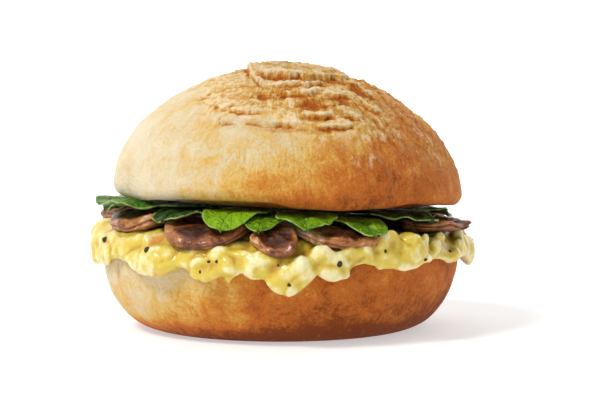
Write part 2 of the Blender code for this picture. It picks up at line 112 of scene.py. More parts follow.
# The filling, as in the solids
EGG_TOP = 34.4 * MM
EGG_FLAT_RADIUS = 50.0 * MM
EGG_SHOULDER_WIDE = 14.0 * MM
EGG_SHOULDER_HIGH = 12.0 * MM
EGG_SKIRT_THICKNESS = 4.1 * MM
EGG_LIP_ROUND = 3.5 * MM
EGG_EDGE_HEIGHT = 25.0 * MM
SHELL_BEND = 13.3 * MM
GAP = 0.5 * MM
MUSHROOM_LIFT = 0.7 * MM
MUSHROOM_THICKNESS = 4.1 * MM
LEAF_STEM_DISTANCE = 9.0 * MM
LEAF_STEM_HALF_WIDTH = 1.2 * MM
CROWN_LIFT = 7.8 * MM

# Egg tongues that hang over the heel: bearing in degrees, height of the tip in mm, half width in degrees
EGG_TONGUES = in_metres(
    (1,),
    (-92, 21.5, 8), (-72, 22.0, 8), (-40, 21.0, 10), (-23.5, 21.0, 4.5), (-15.5, 20.6, 3),
    (-7, 22.0, 4.5), (2, 16.4, 7.5), (16, 21.2, 6), (39, 23.3, 10), (65, 23.4, 9), (90, 22.4, 9),
    (112, 20.0, 9), (131, 22.5, 7), (150, 17.0, 9), (172, 21.5, 8), (194, 18.0, 9), (214, 21.8, 7),
    (236, 19.0, 8), (254, 22.0, 6),
)

# Larger curds: bearing in degrees, angle on the egg's shoulder, rise in mm, half width in degrees
EGG_CURDS = in_metres(
    (2,),
    (43, 55, 4.4, 5.5), (-81, 48, 2.8, 4.5), (-88, 6, -1.8, 11), (-52, 10, 1.2, 9), (66, 5, 1.2, 6),
    (93, 32, 1.4, 5), (122, 55, 2.6, 4), (214.5, 55, 2.6, 4), (160, 8, 1.4, 8), (232, 8, 1.4, 8),
)
EGG_CURD_HALF_ANGLE = 18

# Mushroom slices at the rim: bearing, distance of the middle from the axis and width in mm, turn in
# degrees, how stiffly the slice stands out over the egg's shoulder, its length as a share of its width
RIM_MUSHROOMS = in_metres(
    (1, 2),
    (-61, 48.5, 29, 8, 0.0, 0.8), (-25.5, 52.8, 27, -6, 0.0, 0.8), (-3, 56.5, 13, -35, 0.0, 1.5),
    (20, 51.5, 29, 5, 0.0, 0.75), (72, 48.0, 29, -4, 1.2, 0.8), (107, 49.5, 22, 10, 0.0, 0.8),
    (137, 50.0, 24, -8, 0.0, 0.8), (167, 49.0, 25, 14, 0.0, 0.8), (198, 50.5, 24, -5, 0.0, 0.8),
    (231, 49.0, 24, 9, 0.0, 0.8), (263, 50.0, 25, -12, 0.0, 0.8),
)

# How tan each slice at the rim is, from dark 0 to light 1
MUSHROOM_TONES = (0.70, 0.30, 0.35, 0.62, 0.15, 0.5, 0.3, 0.7, 0.2, 0.6, 0.4)

INNER_MUSHROOMS = 4
INNER_MUSHROOM_TONE = 0.5
INNER_MUSHROOM_DISTANCE = 19 * MM
INNER_MUSHROOM_WIDTH = 21 * MM

# How much of a slice's reach its flat faces take up, the rest being its rounded rim
SLICE_FACE_SHARE = 0.92

# Leaves: bearing, then in mm the lift of the layer, the distance of the tip, the greatest half width,
# the lift of the tip and the bend to one side, and how pointed the leaf is
LEAVES = in_metres(
    (1, 2, 3, 4, 5),
    (-62, 6.9, 59, 14.5, 4.2, -2.4, 0.8), (-15.5, 6.9, 59.5, 10, 0.0, -2.0, 0.75),
    (9, 6.9, 59, 11.5, 0.6, -1.8, 0.9), (49, 6.9, 57, 14.0, 0.8, 2.4, 0.8),
    (92, 6.9, 53, 14.0, 0.2, -1.5, 0.8), (134, 6.9, 60, 14.0, 0.4, 2.1, 0.8),
    (178, 6.9, 58, 14.0, 0.6, -2.1, 0.8), (219, 6.9, 60, 13.0, 0.3, 1.5, 1.0),
    (258, 6.9, 59, 13.0, 0.5, -1.2, 0.8), (-39, 5.6, 58, 12.5, 1.0, 1.5, 0.8),
    (-6, 5.6, 59, 7.5, 0.0, -0.6, 0.8), (26, 5.6, 59.5, 9.5, 0.2, 1.6, 0.7),
    (70, 5.6, 52, 13.0, 0.0, 1.8, 0.8), (113, 5.6, 58, 13.0, 0.0, -1.8, 0.8),
    (156, 5.6, 57, 13.0, 0.0, 1.2, 1.1), (199, 5.6, 58, 12.0, 0.0, -1.8, 0.8),
    (239, 5.6, 57, 12.0, 0.0, 1.5, 0.8), (279, 5.6, 57, 12.0, 0.0, 1.2, 1.0),
)

# Where a leaf is widest, the angle over which its tip is rounded, and from where to where it comes
# free of the layers under and over it
LEAF_WIDEST_SHARE = 0.6
LEAF_TIP_ANGLE = math.radians(88)
LEAF_FREE_START = 46 * MM
LEAF_FREE_END = 54 * MM

# How bright the green of each leaf is, from dark 0 to bright 1, and how crinkled its edge
LEAF_TONES = (
    (0.72, 1.5), (1.15, 0.6), (0.90, 0.9), (0.35, 1.2), (0.35, 0.9), (0.30, 1.0),
    (0.55, 0.7), (0.20, 1.1), (0.45, 0.8), (0.24, 1.4), (0.80, 0.5), (0.85, 0.6),
    (0.15, 0.9), (0.50, 0.8), (0.20, 1.0), (0.40, 0.8), (0.25, 1.0), (0.35, 0.9),
)

# Flakes of coarse pepper on the front of the egg: bearing in degrees, height and size in mm
PEPPER = in_metres(
    (1, 2),
    (-67, 30.8, 2.3), (-40.5, 29.8, 2.2), (-20.5, 27.2, 1.5), (-18, 27.4, 1.2), (-1, 26.4, 1.1),
    (16, 26.7, 1.9), (31, 29.8, 1.4), (45, 26.4, 1.9), (50, 31.3, 1.1), (61.5, 27.4, 1.7),
    (2, 20.6, 1.2), (-23, 24.0, 1.2),
)
BACK_PEPPER = 12

# How far from the axis the rays start that find the egg's surface under the pepper
RAY_START = 90 * MM

# Curds on the front of the egg: bearing in degrees, height, half width, half height and depth in mm
FRONT_CURDS = (
    (-70, 29.0, 2.6, 3.6, 3.0), (-62, 26.0, 2.2, 2.8, 2.4), (-57, 33.6, 4.4, 3.0, 2.2),
    (-48, 30.3, 3.9, 3.2, 3.0), (-39, 26.4, 7.6, 4.2, 4.4), (-32, 31.6, 2.6, 2.8, 2.4),
    (-30, 26.6, 3.2, 1.2, 1.4), (-26, 29.4, 2.4, 2.8, 2.6), (-24, 26.1, 2.6, 2.4, 2.8),
    (-21, 23.6, 3.4, 2.6, 2.8), (-18, 29.0, 3.0, 2.4, 2.4), (-15, 25.5, 3.3, 3.0, 2.8),
    (-15, 22.2, 1.3, 1.9, 1.8), (-11, 28.1, 3.6, 3.0, 2.8), (-6, 26.6, 4.8, 3.9, 3.2),
    (0, 22.1, 4.5, 4.5, 3.4), (2, 19.2, 2.0, 2.6, 2.4), (5, 25.1, 3.0, 3.9, 3.0),
    (11, 28.5, 3.4, 3.6, 3.6), (15, 25.5, 4.3, 3.6, 3.4), (18, 23.3, 2.4, 1.9, 2.4),
    (20, 29.2, 2.4, 3.2, 2.8), (25, 29.0, 2.3, 3.4, 3.0), (31, 29.8, 2.7, 5.2, 3.8),
    (35, 30.4, 2.5, 4.9, 3.4), (42, 29.0, 4.3, 4.8, 4.4), (48, 30.5, 1.7, 3.6, 2.8),
    (39, 25.2, 3.7, 1.6, 2.2), (54, 28.7, 2.2, 2.8, 3.0), (60, 31.4, 2.8, 2.5, 3.0),
    (64, 26.4, 2.1, 2.1, 2.8), (71, 28.8, 1.7, 1.9, 2.4),
)

# Width, height and depth of a curd before it is melted in, as shares of the named ones, and how deep
# it sinks in as a share of its named depth
CURD_SHARES = (1.25, 1.2, 0.7)
CURD_SINK = 0.28

# Height in mm up to which the egg shows where no mushroom slice hangs over it
EGG_SHOWN_TOP = 33.5

# Curds scattered by chance: how many, first bearing and span in degrees, clearance over the lower edge,
# least size and how much is added to it at most in mm, how rare the large ones are, and height and
# depth as shares of the size
LOOSE_CURDS = (
    (120, 76, 208, 2.5, 1.6, 2.9, 1.4, 1.1, 0.75),
    (24, 0, 360, 1.5, 1.0, 0.9, 1.0, 1.2, 1.5),
)

# Torn plates on the front of the crown: across from its middle, height, half width, turn in degrees,
# sag of the middle, rise of the lip and how far up the plate reaches, in mm
TORN_PLATES = (
    (4.0, 82.7, 16.5, 3, 0.5, 1.7, 12.9), (-12.0, 84.0, 4.6, 40, 0.0, 1.4, 6.0),
    (3.6, 80.6, 11.5, -1, 0.3, 0.9, 1.9), (3.6, 77.6, 7.6, -4, 0.6, 1.1, 2.5),
    (15.4, 77.0, 4.5, 10, 0.6, 0.8, 2.2), (9.2, 70.9, 5.3, 3, 0.9, 1.1, 2.2),
    (-13.4, 72.4, 5.7, 2, 0.3, 0.9, 2.8), (-4.6, 68.8, 10.3, 2, 0.6, 1.2, 4.4),
    (14.4, 67.6, 6.2, -3, 0.5, 1.0, 2.8), (-19.8, 73.5, 3.5, -12, 0.3, 0.7, 2.2),
    (-19.0, 69.0, 3.8, -5, 0.3, 0.7, 2.8), (26.6, 73.4, 3.8, 30, 0.3, 0.8, 2.9),
    (23.7, 78.4, 4.5, 22, 0.3, 0.7, 2.3), (34.5, 74.1, 4.5, 38, 0.2, 0.6, 1.9),
    (38.9, 67.9, 5.1, 45, 0.2, 0.6, 2.2), (30.4, 66.7, 3.8, 40, 0.2, 0.6, 1.9),
    (-27.0, 77.1, 3.2, -25, 0.3, 0.4, 1.6), (19.9, 71.1, 3.1, 5, 0.3, 0.7, 1.9),
    (34.4, 61.7, 3.8, 50, 0.2, 0.5, 1.9), (46.0, 65.9, 3.3, 52, 0.2, 0.5, 2.0),
)

# Pits between the plates: across, height, half width, half height in mm, and how deep from 0 to 1
TORN_PITS = (
    (-8.5, 77.0, 1.9, 1.3, 1.0), (6.7, 74.3, 3.1, 1.4, 0.9), (17.9, 75.7, 0.8, 0.8, 1.0),
    (13.1, 66.7, 0.7, 0.6, 0.9), (-21.6, 69.3, 0.6, 1.1, 0.8), (-2.1, 67.2, 8.7, 0.7, 0.6),
    (2.7, 82.3, 10.3, 0.5, 0.5), (-1.2, 78.6, 4.5, 0.7, 0.55), (-23.1, 73.2, 0.7, 0.7, 0.7),
    (3.5, 69.7, 1.9, 0.6, 0.4),
)

# A hollow where the egg is toasted: bearing in degrees, height, half width and half height in mm
TOASTED_SPOT = (-41.0, 32.6, 3.0, 1.7)

# How finely the pieces are meshed
CROWN_COLUMNS = 400
CROWN_ROWS = 226
CROWN_RIM_STEPS = 12
HEEL_COLUMNS = 300
HEEL_ROWS = 84
HEEL_RIM_STEPS = 10
EGG_COLUMNS = 240
EGG_INSIDE_ROWS = 10
EGG_OUTSIDE_ROWS = 30
EGG_ROWS = EGG_INSIDE_ROWS + EGG_OUTSIDE_ROWS + 3
EGG_SMOOTHINGS = 14
MUSHROOM_COLUMNS = 110
MUSHROOM_ROWS = 64
LEAF_COLUMNS = 26
LEAF_ROWS = 64

# The camera, the light and the stage
CAMERA_AIM = Vector((4.0, 0.0, 41.9)) * MM
CAMERA_DISTANCE = 0.7
CAMERA_ELEVATION = math.radians(4.0)
FRAME_WIDTH = 590 / 3 * MM
SENSOR_WIDTH = 36.0
KEY_DIRECTION = Vector((0.70, 0.52, -1.02))
KEY_ANGLE = math.radians(16)
STAGE_SIZE = 4.0
BACKDROP_DISTANCE = 2.5


def srgb(red, green, blue):
    """A linear colour from screen values of 0 to 255."""
    return tuple(((v / 255 + 0.055) / 1.055) ** 2.4 if v > 10 else v / 3294.6 for v in (red, green, blue))


def smoothstep(low, high, value):
    """0 below low, 1 above high, and a smooth rise between them."""
    share = min(1.0, max(0.0, (value - low) / (high - low)))
    return share * share * (3 - 2 * share)


def bell(value):
    """1 at 0, falling on both sides."""
    return math.exp(-(value**2))


def bearing_of(x, y):
    return math.atan2(x, -y)


def at_bearing(radius, bearing, height):
    return Vector((radius * math.sin(bearing), -radius * math.cos(bearing), height))


def turned(bearing, centre):
    """How far a bearing is from another in degrees, from -180 to 180."""
    return (math.degrees(bearing) - centre + 180) % 360 - 180


def rumple(point, size, seed=0.0):
    """Smooth noise of about -1 to 1 with lumps of a size in millimetres."""
    return noise.noise(point / (size * MM) + Vector((seed, 2.3 * seed, -1.7 * seed)))


def blotch(point, size, seed, low=-0.2, high=0.3):
    """Patches of 1 on a ground of 0, with lumps of a size in millimetres."""
    return smoothstep(low, high, rumple(point, size, seed))


def swung(across, out, angle):
    """A place on the filling rolled out flat, turned round the axis by an angle."""
    sine, cosine = math.sin(angle), math.cos(angle)
    return across * cosine + out * sine, out * cosine - across * sine


def lean(x):
    """The crown leans a little to the right, and the filling under it with it."""
    return -x * math.tan(LEAN)


def leant(point, angle):
    """A point of the filling moved by the lean, which fades out down the egg's shoulder."""
    point.z += lean(point.x) * smoothstep(5, 50, math.degrees(angle))
    return point


def out_of_round(bearing):
    """The heel is no true circle: the share that its radius is of the named one."""
    uneven = 0.006 * math.sin(2 * bearing + 0.6) + 0.005 * math.sin(3 * bearing + 2.0)
    return 1 - HEEL_SHIFT_SHARE * math.sin(bearing) + uneven


def heel_side_radius(height):
    """Radius of the heel's side: a quarter ellipse from the foot up to the rim."""
    rise = HEEL_HEIGHT - HEEL_RIM_ROUND
    share = min(1.0, max(0.0, (rise - height) / rise))
    return HEEL_FOOT_RADIUS + (HEEL_RADIUS - HEEL_FOOT_RADIUS) * math.sqrt(1 - share * share)


class Value:
    """A socket that can be reckoned with: every operation on it adds its Math node."""

    def __init__(self, paint, socket):
        self.paint = paint
        self.socket = socket

    def __add__(self, other):
        return self.paint.math("ADD", self, other)

    __radd__ = __add__

    def __sub__(self, other):
        return self.paint.math("SUBTRACT", self, other)

    def __rsub__(self, other):
        return self.paint.math("SUBTRACT", other, self)

    def __mul__(self, other):
        return self.paint.math("MULTIPLY", self, other)

    def __abs__(self):
        return self.paint.math("ABSOLUTE", self)


class Paint:
    """A procedural material under construction: a Principled shader and what feeds it."""

    def __init__(self, name, scatter=None, **constants):
        """Scatter is the subsurface radius of red, green and blue, in millimetres."""
        self.material = bpy.data.materials.new(name)
        self.material.use_nodes = True
        self.tree = self.material.node_tree
        self.shader = self.tree.nodes["Principled BSDF"]
        for socket, value in constants.items():
            self.shader.inputs[socket.replace("_", " ")].default_value = value
        if scatter:
            self.shader.inputs["Subsurface Radius"].default_value = Vector(scatter) * MM

    def node(self, kind, settings, sockets, output=0):
        """Adds a node: its settings first, then the values or links of its sockets."""
        node = self.tree.nodes.new(kind)
        for key, value in settings.items():
            setattr(node, key, value)
        for key, value in sockets.items():
            if isinstance(value, Value):
                self.tree.links.new(value.socket, node.inputs[key])
            else:
                node.inputs[key].default_value = value
        return Value(self, node.outputs[output])

    def math(self, operation, *values):
        return self.node("ShaderNodeMath", {"operation": operation}, dict(enumerate(values)))

    def rise(self, value, low, high):
        """0 below low, 1 above high and smooth between them, or falling where low is the larger."""
        settings = {"interpolation_type": "SMOOTHSTEP"}
        return self.node("ShaderNodeMapRange", settings, {0: value, 1: low, 2: high, 3: 0.0, 4: 1.0})

    def mix(self, share, first, second):
        """Two colours mixed by a share."""
        colours = {}
        for key, colour in ((6, first), (7, second)):
            colours[key] = colour if isinstance(colour, Value) else (*colour[:3], 1.0)
        return self.node("ShaderNodeMix", {"data_type": "RGBA"}, {0: share, **colours}, output=2)

    def shades(self, value, colour, *steps):
        """A colour that turns into others as a value rises: each step is a start, an end and a colour."""
        for start, end, following in steps:
            colour = self.mix(self.rise(value, start, end), colour, following)
        return colour

    def place(self):
        """Object coordinates."""
        return self.node("ShaderNodeTexCoord", {}, {}, output=3)

    def stretch(self, place, factors):
        return self.node("ShaderNodeVectorMath", {"operation": "MULTIPLY"}, {0: place, 1: factors})

    def noise(self, place, size, detail=3.0, rough=0.55, warp=0.0):
        """Noise of 0 to 1 with lumps of a size in millimetres."""
        sockets = {"Vector": place, "Scale": 1 / (size * MM), "Detail": detail, "Roughness": rough}
        return self.node("ShaderNodeTexNoise", {}, {**sockets, "Distortion": warp})

    def attribute(self, name, output=2):
        """An attribute of the mesh: output 2 is its number, output 1 its vector."""
        return self.node("ShaderNodeAttribute", {"attribute_name": name}, {}, output=output)

    def bump(self, height, depth, strength=1.0):
        """A normal from a height of 0 to 1 that stands for a depth in millimetres."""
        sockets = {"Height": height, "Distance": depth * MM, "Strength": strength}
        return self.node("ShaderNodeBump", {}, sockets)

    def feed(self, **links):
        """Links the values to the shader's sockets."""
        for socket, value in links.items():
            self.tree.links.new(value.socket, self.shader.inputs[socket.replace("_", " ")])
        return self.material


def mesh_object(bm, name, *materials):
    """Turns a mesh under construction into an object of the scene, with its materials if it has any."""
    mesh = bpy.data.meshes.new(name)
    bm.to_mesh(mesh)
    bm.free()
    for material in materials:
        mesh.materials.append(material)
    piece = bpy.data.objects.new(name, mesh)
    bpy.context.scene.collection.objects.link(piece)
    return piece


def add_piece(bm, name, material, slot, *nodes):
    """Makes a finished piece of a mesh: it rides on the sandwich and stands for its CAD nodes."""
    piece = mesh_object(bm, name, material)
    piece.data.shade_smooth()
    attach(piece, "root")
    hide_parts(*nodes)


def marks(bm, kind, *names):
    """Adds layers of numbers or of vectors to the vertices of a mesh."""
    return [getattr(bm.verts.layers, kind).new(name) for name in names]


def face_outwards(bm):
    """Turns the faces of a closed mesh outwards."""
    bmesh.ops.recalc_face_normals(bm, faces=bm.faces)
    if bm.calc_volume(signed=True) < 0:
        bmesh.ops.reverse_faces(bm, faces=bm.faces)


def spun(profile, segments):
    """A closed mesh turned from a profile of (radius, height) that starts and ends on the axis."""
    bm = bmesh.new()
    points = [bm.verts.new((radius, 0, height)) for radius, height in profile]
    edges = [bm.edges.new(pair) for pair in zip(points, points[1:])]
    bmesh.ops.spin(
        bm,
        geom=points + edges,
        cent=(0, 0, 0),
        axis=(0, 0, 1),
        angle=2 * math.pi,
        steps=segments,
        use_merge=True,
    )
    bmesh.ops.remove_doubles(bm, verts=bm.verts, dist=1e-6)
    face_outwards(bm)
    return bm


def wrapped_grid(columns, rows, place, **values):
    """A closed mesh from a grid whose columns go once round and whose end rows close on a pole.

    Each of the values is a function of the place on the grid that fills a layer of that name.
    """
    bm = bmesh.new()
    bmesh.ops.create_grid(bm, x_segments=columns, y_segments=rows, size=0.5)
    layers = marks(bm, "float", *values)
    for vert in bm.verts:
        around, along = vert.co.x + 0.5, vert.co.y + 0.5
        vert.co = place(around, along)
        for layer, value in zip(layers, values.values()):
            vert[layer] = value(around, along)
    bmesh.ops.remove_doubles(bm, verts=bm.verts, dist=1e-6)
    bmesh.ops.dissolve_degenerate(bm, edges=bm.edges, dist=1e-7)
    face_outwards(bm)
    return bm


def crust_relief(point, flow):
    """Gentle unevenness of baked crust, in metres: swells, and wrinkles that run from top to bottom."""
    swell = 0.45 * rumple(point, 19, 3) + 0.22 * rumple(point, 8, 5) + 0.09 * rumple(point, 3.2, 7)
    wrinkle = 0.16 * abs(rumple(flow, 2.6, 8)) + 0.07 * rumple(flow, 1.3, 9)
    return (swell + wrinkle) * MM


def crust_flow(x, y, z):
    """Coordinates in metres in which wrinkles down the roll's side are round."""
    bearing = bearing_of(x, y)
    return at_bearing(42 * MM, bearing, 0.24 * z)


def crag_distance(x, y):
    """Uneven distance in millimetres from the middle of the torn crust."""
    away = math.hypot(CRAG_WIDTH_SHARE * (x - CRAG_CENTRE[0]), y - CRAG_CENTRE[1]) / MM
    spot = Vector((x, y, 0)) / MM
    return away + 3.0 * noise.noise(spot / 24) + 2.0 * noise.noise(spot / 9 + Vector((7, 3, 1)))


def tooth(phase):
    """A slow rise from 0 to 1 and a short drop back in each unit of the phase."""
    share = phase - math.floor(phase)
    if share < TOOTH_PEAK:
        return (share / TOOTH_PEAK) ** 1.4
    return 1 - smoothstep(TOOTH_PEAK, 1.0, share)


def torn_relief(x, y):
    """The torn rings and sheets of the crown.

    Gives their relief in metres, and how torn the crust is and how low it lies, from 0 to 1; the crust's
    colour paints shade where it lies low.
    """
    away = crag_distance(x, y)
    spot = Vector((x, y, 0))
    ring = ring_place(x, y, away)
    fray = away + 1.5 * rumple(spot, 4.5, 11) + 0.9 * rumple(spot, 2.0, 12)
    phase = fray / CRAG_STEP
    strength = 0.45 + bell((away - CRAG_LIP_DISTANCE) / CRAG_LIP_WIDTH)
    strength *= 1 - smoothstep(CRAG_FADE_START, CRAG_FADE_END, away)
    unevenness = 0.8 + 0.4 * noise.noise(spot / MM / 15 + Vector((2, 9, 4)))
    broken = 0.5 + 0.8 * blotch(spot, 11, 15, low=-0.25)
    height = CRAG_RISE * (tooth(phase) - 0.2) * strength * unevenness * broken
    torn = 1 - smoothstep(CRAG_FADE_START - 8, CRAG_FADE_END + 1, away + 4 * rumple(spot, 7, 16))
    torn *= 0.10 + 0.90 * smoothstep(-34 * MM, -16 * MM, x + 6 * MM * rumple(spot, 8, 17))
    sheets = (away + 3.0 * rumple(spot, 7, 18) + 1.6 * rumple(ring, 2.4, 19)) / SHEET_STEP
    patch = blotch(spot, 9, 20, low=-0.15)
    height += torn * (tooth(sheets) - 0.45) * patch * MM
    share = phase - math.floor(phase)
    low = max(smoothstep(0.82, 0.92, share), 1 - smoothstep(0.05, 0.20, share))
    low *= blotch(spot, 9, 25, high=0.22)
    share = sheets - math.floor(sheets)
    shallow = max(smoothstep(0.84, 0.95, share), 1 - smoothstep(0.04, 0.16, share)) * patch
    near = 1 - smoothstep(CRAG_FADE_START - 4, CRAG_FADE_END, away)
    return height, torn, min(1.0, 0.8 * low + 0.5 * shallow) * near


def front_tear(across, height):
    """The torn plates at the front, at a place in mm: their relief in metres, and how low it lies less a
    painted highlight along the plates' lips; the crust's colour paints shade where it lies low and turns
    pale where that highlight is.
    """
    rise = 0.0
    low = 0.0
    pale = 0.0
    ragged = 0.0
    for weight, wide, high, seed in RAGGED_EDGE:
        ragged += weight * noise.noise(Vector((across / wide, height / high, seed)))
    for middle, level, half_width, turn, sag, lip, reach in TORN_PLATES:
        share = (across - middle) / half_width + 0.12 * ragged
        if abs(share) > 1.2:
            continue
        edge = level - math.tan(math.radians(turn)) * (across - middle) + sag * share * share
        above = height - edge - 0.7 * ragged
        taper = 1 - smoothstep(0.5, 1.2, abs(share))
        plate = smoothstep(-0.2, 0.15, above) * (1 - smoothstep(0.1 * reach, reach, above))
        # Painted shadow: the crust's colour darkens just under each plate's lip.
        under = bell((above + 0.7) / 0.55)
        rise += lip * taper * (0.85 * plate - 0.55 * under)
        low = max(low, taper * under * min(1.0, 0.35 + 0.5 * lip) * (0.8 + 0.6 * ragged))
        # Painted highlight: a pale line along each plate's lip, taken off the low mark.
        pale = max(pale, taper * bell((above - 0.5) / 0.5))
    for middle, level, half_width, half_height, depth in TORN_PITS:
        far = ((across - middle + 1.6 * ragged) / half_width) ** 2
        far += ((height - level + 0.9 * ragged) / half_height) ** 2
        if far < 6:
            rise -= 0.9 * depth * min(1.0, half_height) * math.exp(-far)
            # Painted shade in the pits.
            low = max(low, depth * math.exp(-0.6 * far))
    return rise * MM, low - 0.60 * pale * (1 - low)


def ring_place(x, y, away):
    """Coordinates in metres in which flakes along the rings of the torn crust are round."""
    angle = math.atan2(y - CRAG_CENTRE[1], CRAG_WIDTH_SHARE * (x - CRAG_CENTRE[0]))
    return Vector((9 * MM * math.cos(angle), 9 * MM * math.sin(angle), away * MM))


def crown_bake(point):
    """How brown the crown's crust is, from pale 0 to dark 1, darkened along its lower edge by painted
    shade.
    """
    across = (point.x - CROWN_OFFSET_X) / MM + 6 * rumple(point, 20, 26) + 3 * rumple(point, 8, 27)
    brown = 0.08 + 0.18 * smoothstep(-52, -22, across) + 0.18 * smoothstep(-14, 12, across)
    brown += 0.34 * smoothstep(8, 30, across)
    # Painted shade: darker towards the cut face, along the crown's lower edge.
    above_cut = point.z - EGG_TOP - CROWN_LIFT
    low = smoothstep(24 * MM, 1 * MM, above_cut)
    low *= smoothstep(-34, -6, across) * (1 - 0.6 * smoothstep(8, 34, across))
    hem = smoothstep(9 * MM, 2 * MM, above_cut) * smoothstep(-46, -26, across)
    hem *= 1 - smoothstep(20, 36, across)
    # Paler towards the far right edge and higher up on the right.
    far = smoothstep(40, 56, across)
    far += smoothstep(28, 44, across) * smoothstep(58 * MM, 74 * MM, point.z)
    return brown + 0.30 * low + 0.12 * hem - 0.13 * far + 0.10 * rumple(point, 9, 28)


def rim_rise(bearing, radius, above_cut):
    """How far the crown's crust curls up at a bearing, at a radius and a height over the cut face."""
    degrees = turned(bearing, 0)
    rise = 0.0
    for (first, low), (second, high) in zip(CROWN_RIM_RISES, CROWN_RIM_RISES[1:]):
        if first <= degrees < second:
            rise = low + (high - low) * smoothstep(first, second, degrees)
    outer = smoothstep(0.76 * CROWN_RADIUS, 0.92 * CROWN_RADIUS, radius)
    return rise * outer * (1 - smoothstep(0, CROWN_CURL_HEIGHT, above_cut))


def crown_mesh():
    """The upper half of the roll, with its torn crust."""
    cut = EGG_TOP + CROWN_LIFT
    waist = cut + CROWN_RIM_HEIGHT
    profile = [(0, cut)] + [(CROWN_RADIUS * share, cut) for share in (0.3, 0.6, 0.8, 0.9)]
    for step in range(CROWN_RIM_STEPS):
        angle = RIGHT_ANGLE * (step / CROWN_RIM_STEPS - 1)
        inset = CROWN_RIM_ROUND * (1 - math.cos(angle))
        profile.append((CROWN_RADIUS - inset, waist + CROWN_RIM_HEIGHT * math.sin(angle)))
    bend = 2 / CROWN_DOME_POWER
    for step in range(CROWN_ROWS):
        angle = RIGHT_ANGLE * (step / CROWN_ROWS) ** 0.9
        radius = CROWN_RADIUS * math.cos(angle) ** bend
        profile.append((radius, waist + CROWN_DOME * math.sin(angle) ** bend))
    profile.append((0, waist + CROWN_DOME))
    bm = spun(profile, CROWN_COLUMNS)
    bake, torn, hollow, pull = marks(bm, "float", "bake", "torn", "hollow", "pull")
    flow, ring = marks(bm, "float_vector", "flow", "ring")
    for vert in bm.verts:
        x, y, z = vert.co
        bearing = bearing_of(x, y)
        upper = smoothstep(waist, waist + CROWN_DOME * 0.3, z)
        share = 1 + 0.006 * math.sin(2 * bearing + 2.2) + 0.005 * math.sin(3 * bearing)
        outward = Vector((x, y, max(0.0, z - waist) * 1.8)).normalized()
        height, tear, low = torn_relief(x, y)
        at_back = smoothstep(-2 * MM, 12 * MM, y)
        plates, pits = front_tear(x / MM, (z + lean(x)) / MM)
        rings = RINGS_AT_FRONT + (1 - RINGS_AT_FRONT) * at_back
        height = height * rings + plates * (1 - at_back)
        low = low * rings + pits * (1 - at_back)
        streak = crust_flow(x, y, z)
        ridge = abs(rumple(streak, 2.0, 34)) + 0.5 * abs(rumple(streak, 1.1, 35))
        crumb = abs(rumple(vert.co, 3.0, 24)) + 0.6 * abs(rumple(vert.co, 1.5, 29))
        crumb += 0.35 * rumple(vert.co, 0.9, 30)
        pulled = smoothstep(6 * MM, 32 * MM, x) * smoothstep(waist + 4 * MM, waist + 16 * MM, z)
        pulled *= 0.35 + 0.65 * blotch(vert.co, 9, 36)
        height = height * upper + crust_relief(vert.co, streak) * smoothstep(cut, waist, z)
        patchy = 0.5 + blotch(vert.co, 8, 37)
        height += (0.9 * ridge - 0.3) * pulled * MM + (0.75 * crumb - 0.3) * patchy * tear * upper * MM
        curl = rim_rise(bearing, math.hypot(x, y), z - cut)
        vert.co = Vector((x * share, y * share, z + curl)) + outward * height
        vert.co.z += lean(vert.co.x)
        vert.co.x += CROWN_OFFSET_X
        vert[torn] = tear * upper * (1 - 0.75 * smoothstep(22 * MM, 36 * MM, x) * (1 - at_back))
        vert[pull] = pulled
        # The hollow mark paints shade into the low rings and plates, the grooves of the pulled crust and
        # the pits between crumbs, and a painted highlight along the plates' lips where it falls below 0.
        pit = 1 - smoothstep(0.10, 0.45, crumb)
        groove = 1 - smoothstep(0.04, 0.30, ridge)
        vert[hollow] = min(1.0, low + 0.5 * pulled * groove + 0.25 * pit * tear)
        vert[flow] = streak
        vert[ring] = ring_place(x, y, crag_distance(x, y))
        vert[bake] = crown_bake(vert.co)
    bm.normal_update()
    return bm


def heel_bake(point):
    """How brown the heel's crust is, from pale 0 to dark 1, darkened towards the bottom partly by painted
    shade.
    """
    across = point.x / MM + 8 * rumple(point, 20, 31) + 4 * rumple(point, 8, 32)
    brown = 0.18 + 0.68 * smoothstep(-50, 14, across)
    # Darker towards the bottom: painted shade, and darkest at the foot where the base baked darker.
    low = smoothstep(20 * MM, 2 * MM, point.z)
    foot = smoothstep(8 * MM, 1 * MM, point.z)
    return brown + 0.26 * low + 0.50 * foot + 0.12 * rumple(point, 10, 33)


def heel_mesh():
    """The lower half of the roll."""
    rise = HEEL_HEIGHT - HEEL_RIM_ROUND
    profile = [(0, 0)] + [(HEEL_FOOT_RADIUS * share, 0) for share in (0.4, 0.7, 0.9)]
    for step in range(HEEL_ROWS + 1):
        angle = RIGHT_ANGLE * step / HEEL_ROWS
        reach = (HEEL_RADIUS - HEEL_FOOT_RADIUS) * math.sin(angle)
        profile.append((HEEL_FOOT_RADIUS + reach, rise * (1 - math.cos(angle))))
    for step in range(1, HEEL_RIM_STEPS + 1):
        angle = RIGHT_ANGLE * step / HEEL_RIM_STEPS
        inset = HEEL_RIM_ROUND * (1 - math.cos(angle))
        profile.append((HEEL_RADIUS - inset, rise + HEEL_RIM_ROUND * math.sin(angle)))
    profile += [(HEEL_RADIUS * share, HEEL_HEIGHT) for share in (0.85, 0.5)] + [(0, HEEL_HEIGHT)]
    bm = spun(profile, HEEL_COLUMNS)
    bake, = marks(bm, "float", "bake")
    flow, = marks(bm, "float_vector", "flow")
    for vert in bm.verts:
        x, y, z = vert.co
        share = out_of_round(bearing_of(x, y))
        crusted = smoothstep(0, 5 * MM, z) * (1 - smoothstep(rise, HEEL_HEIGHT, z))
        outward = Vector((x, y, 0)).normalized()
        streak = crust_flow(x, y, z * 2)
        vert.co = Vector((x * share, y * share, z)) + outward * crust_relief(vert.co, streak) * crusted
        vert[flow] = streak
        vert[bake] = heel_bake(vert.co)
    bm.normal_update()
    return bm


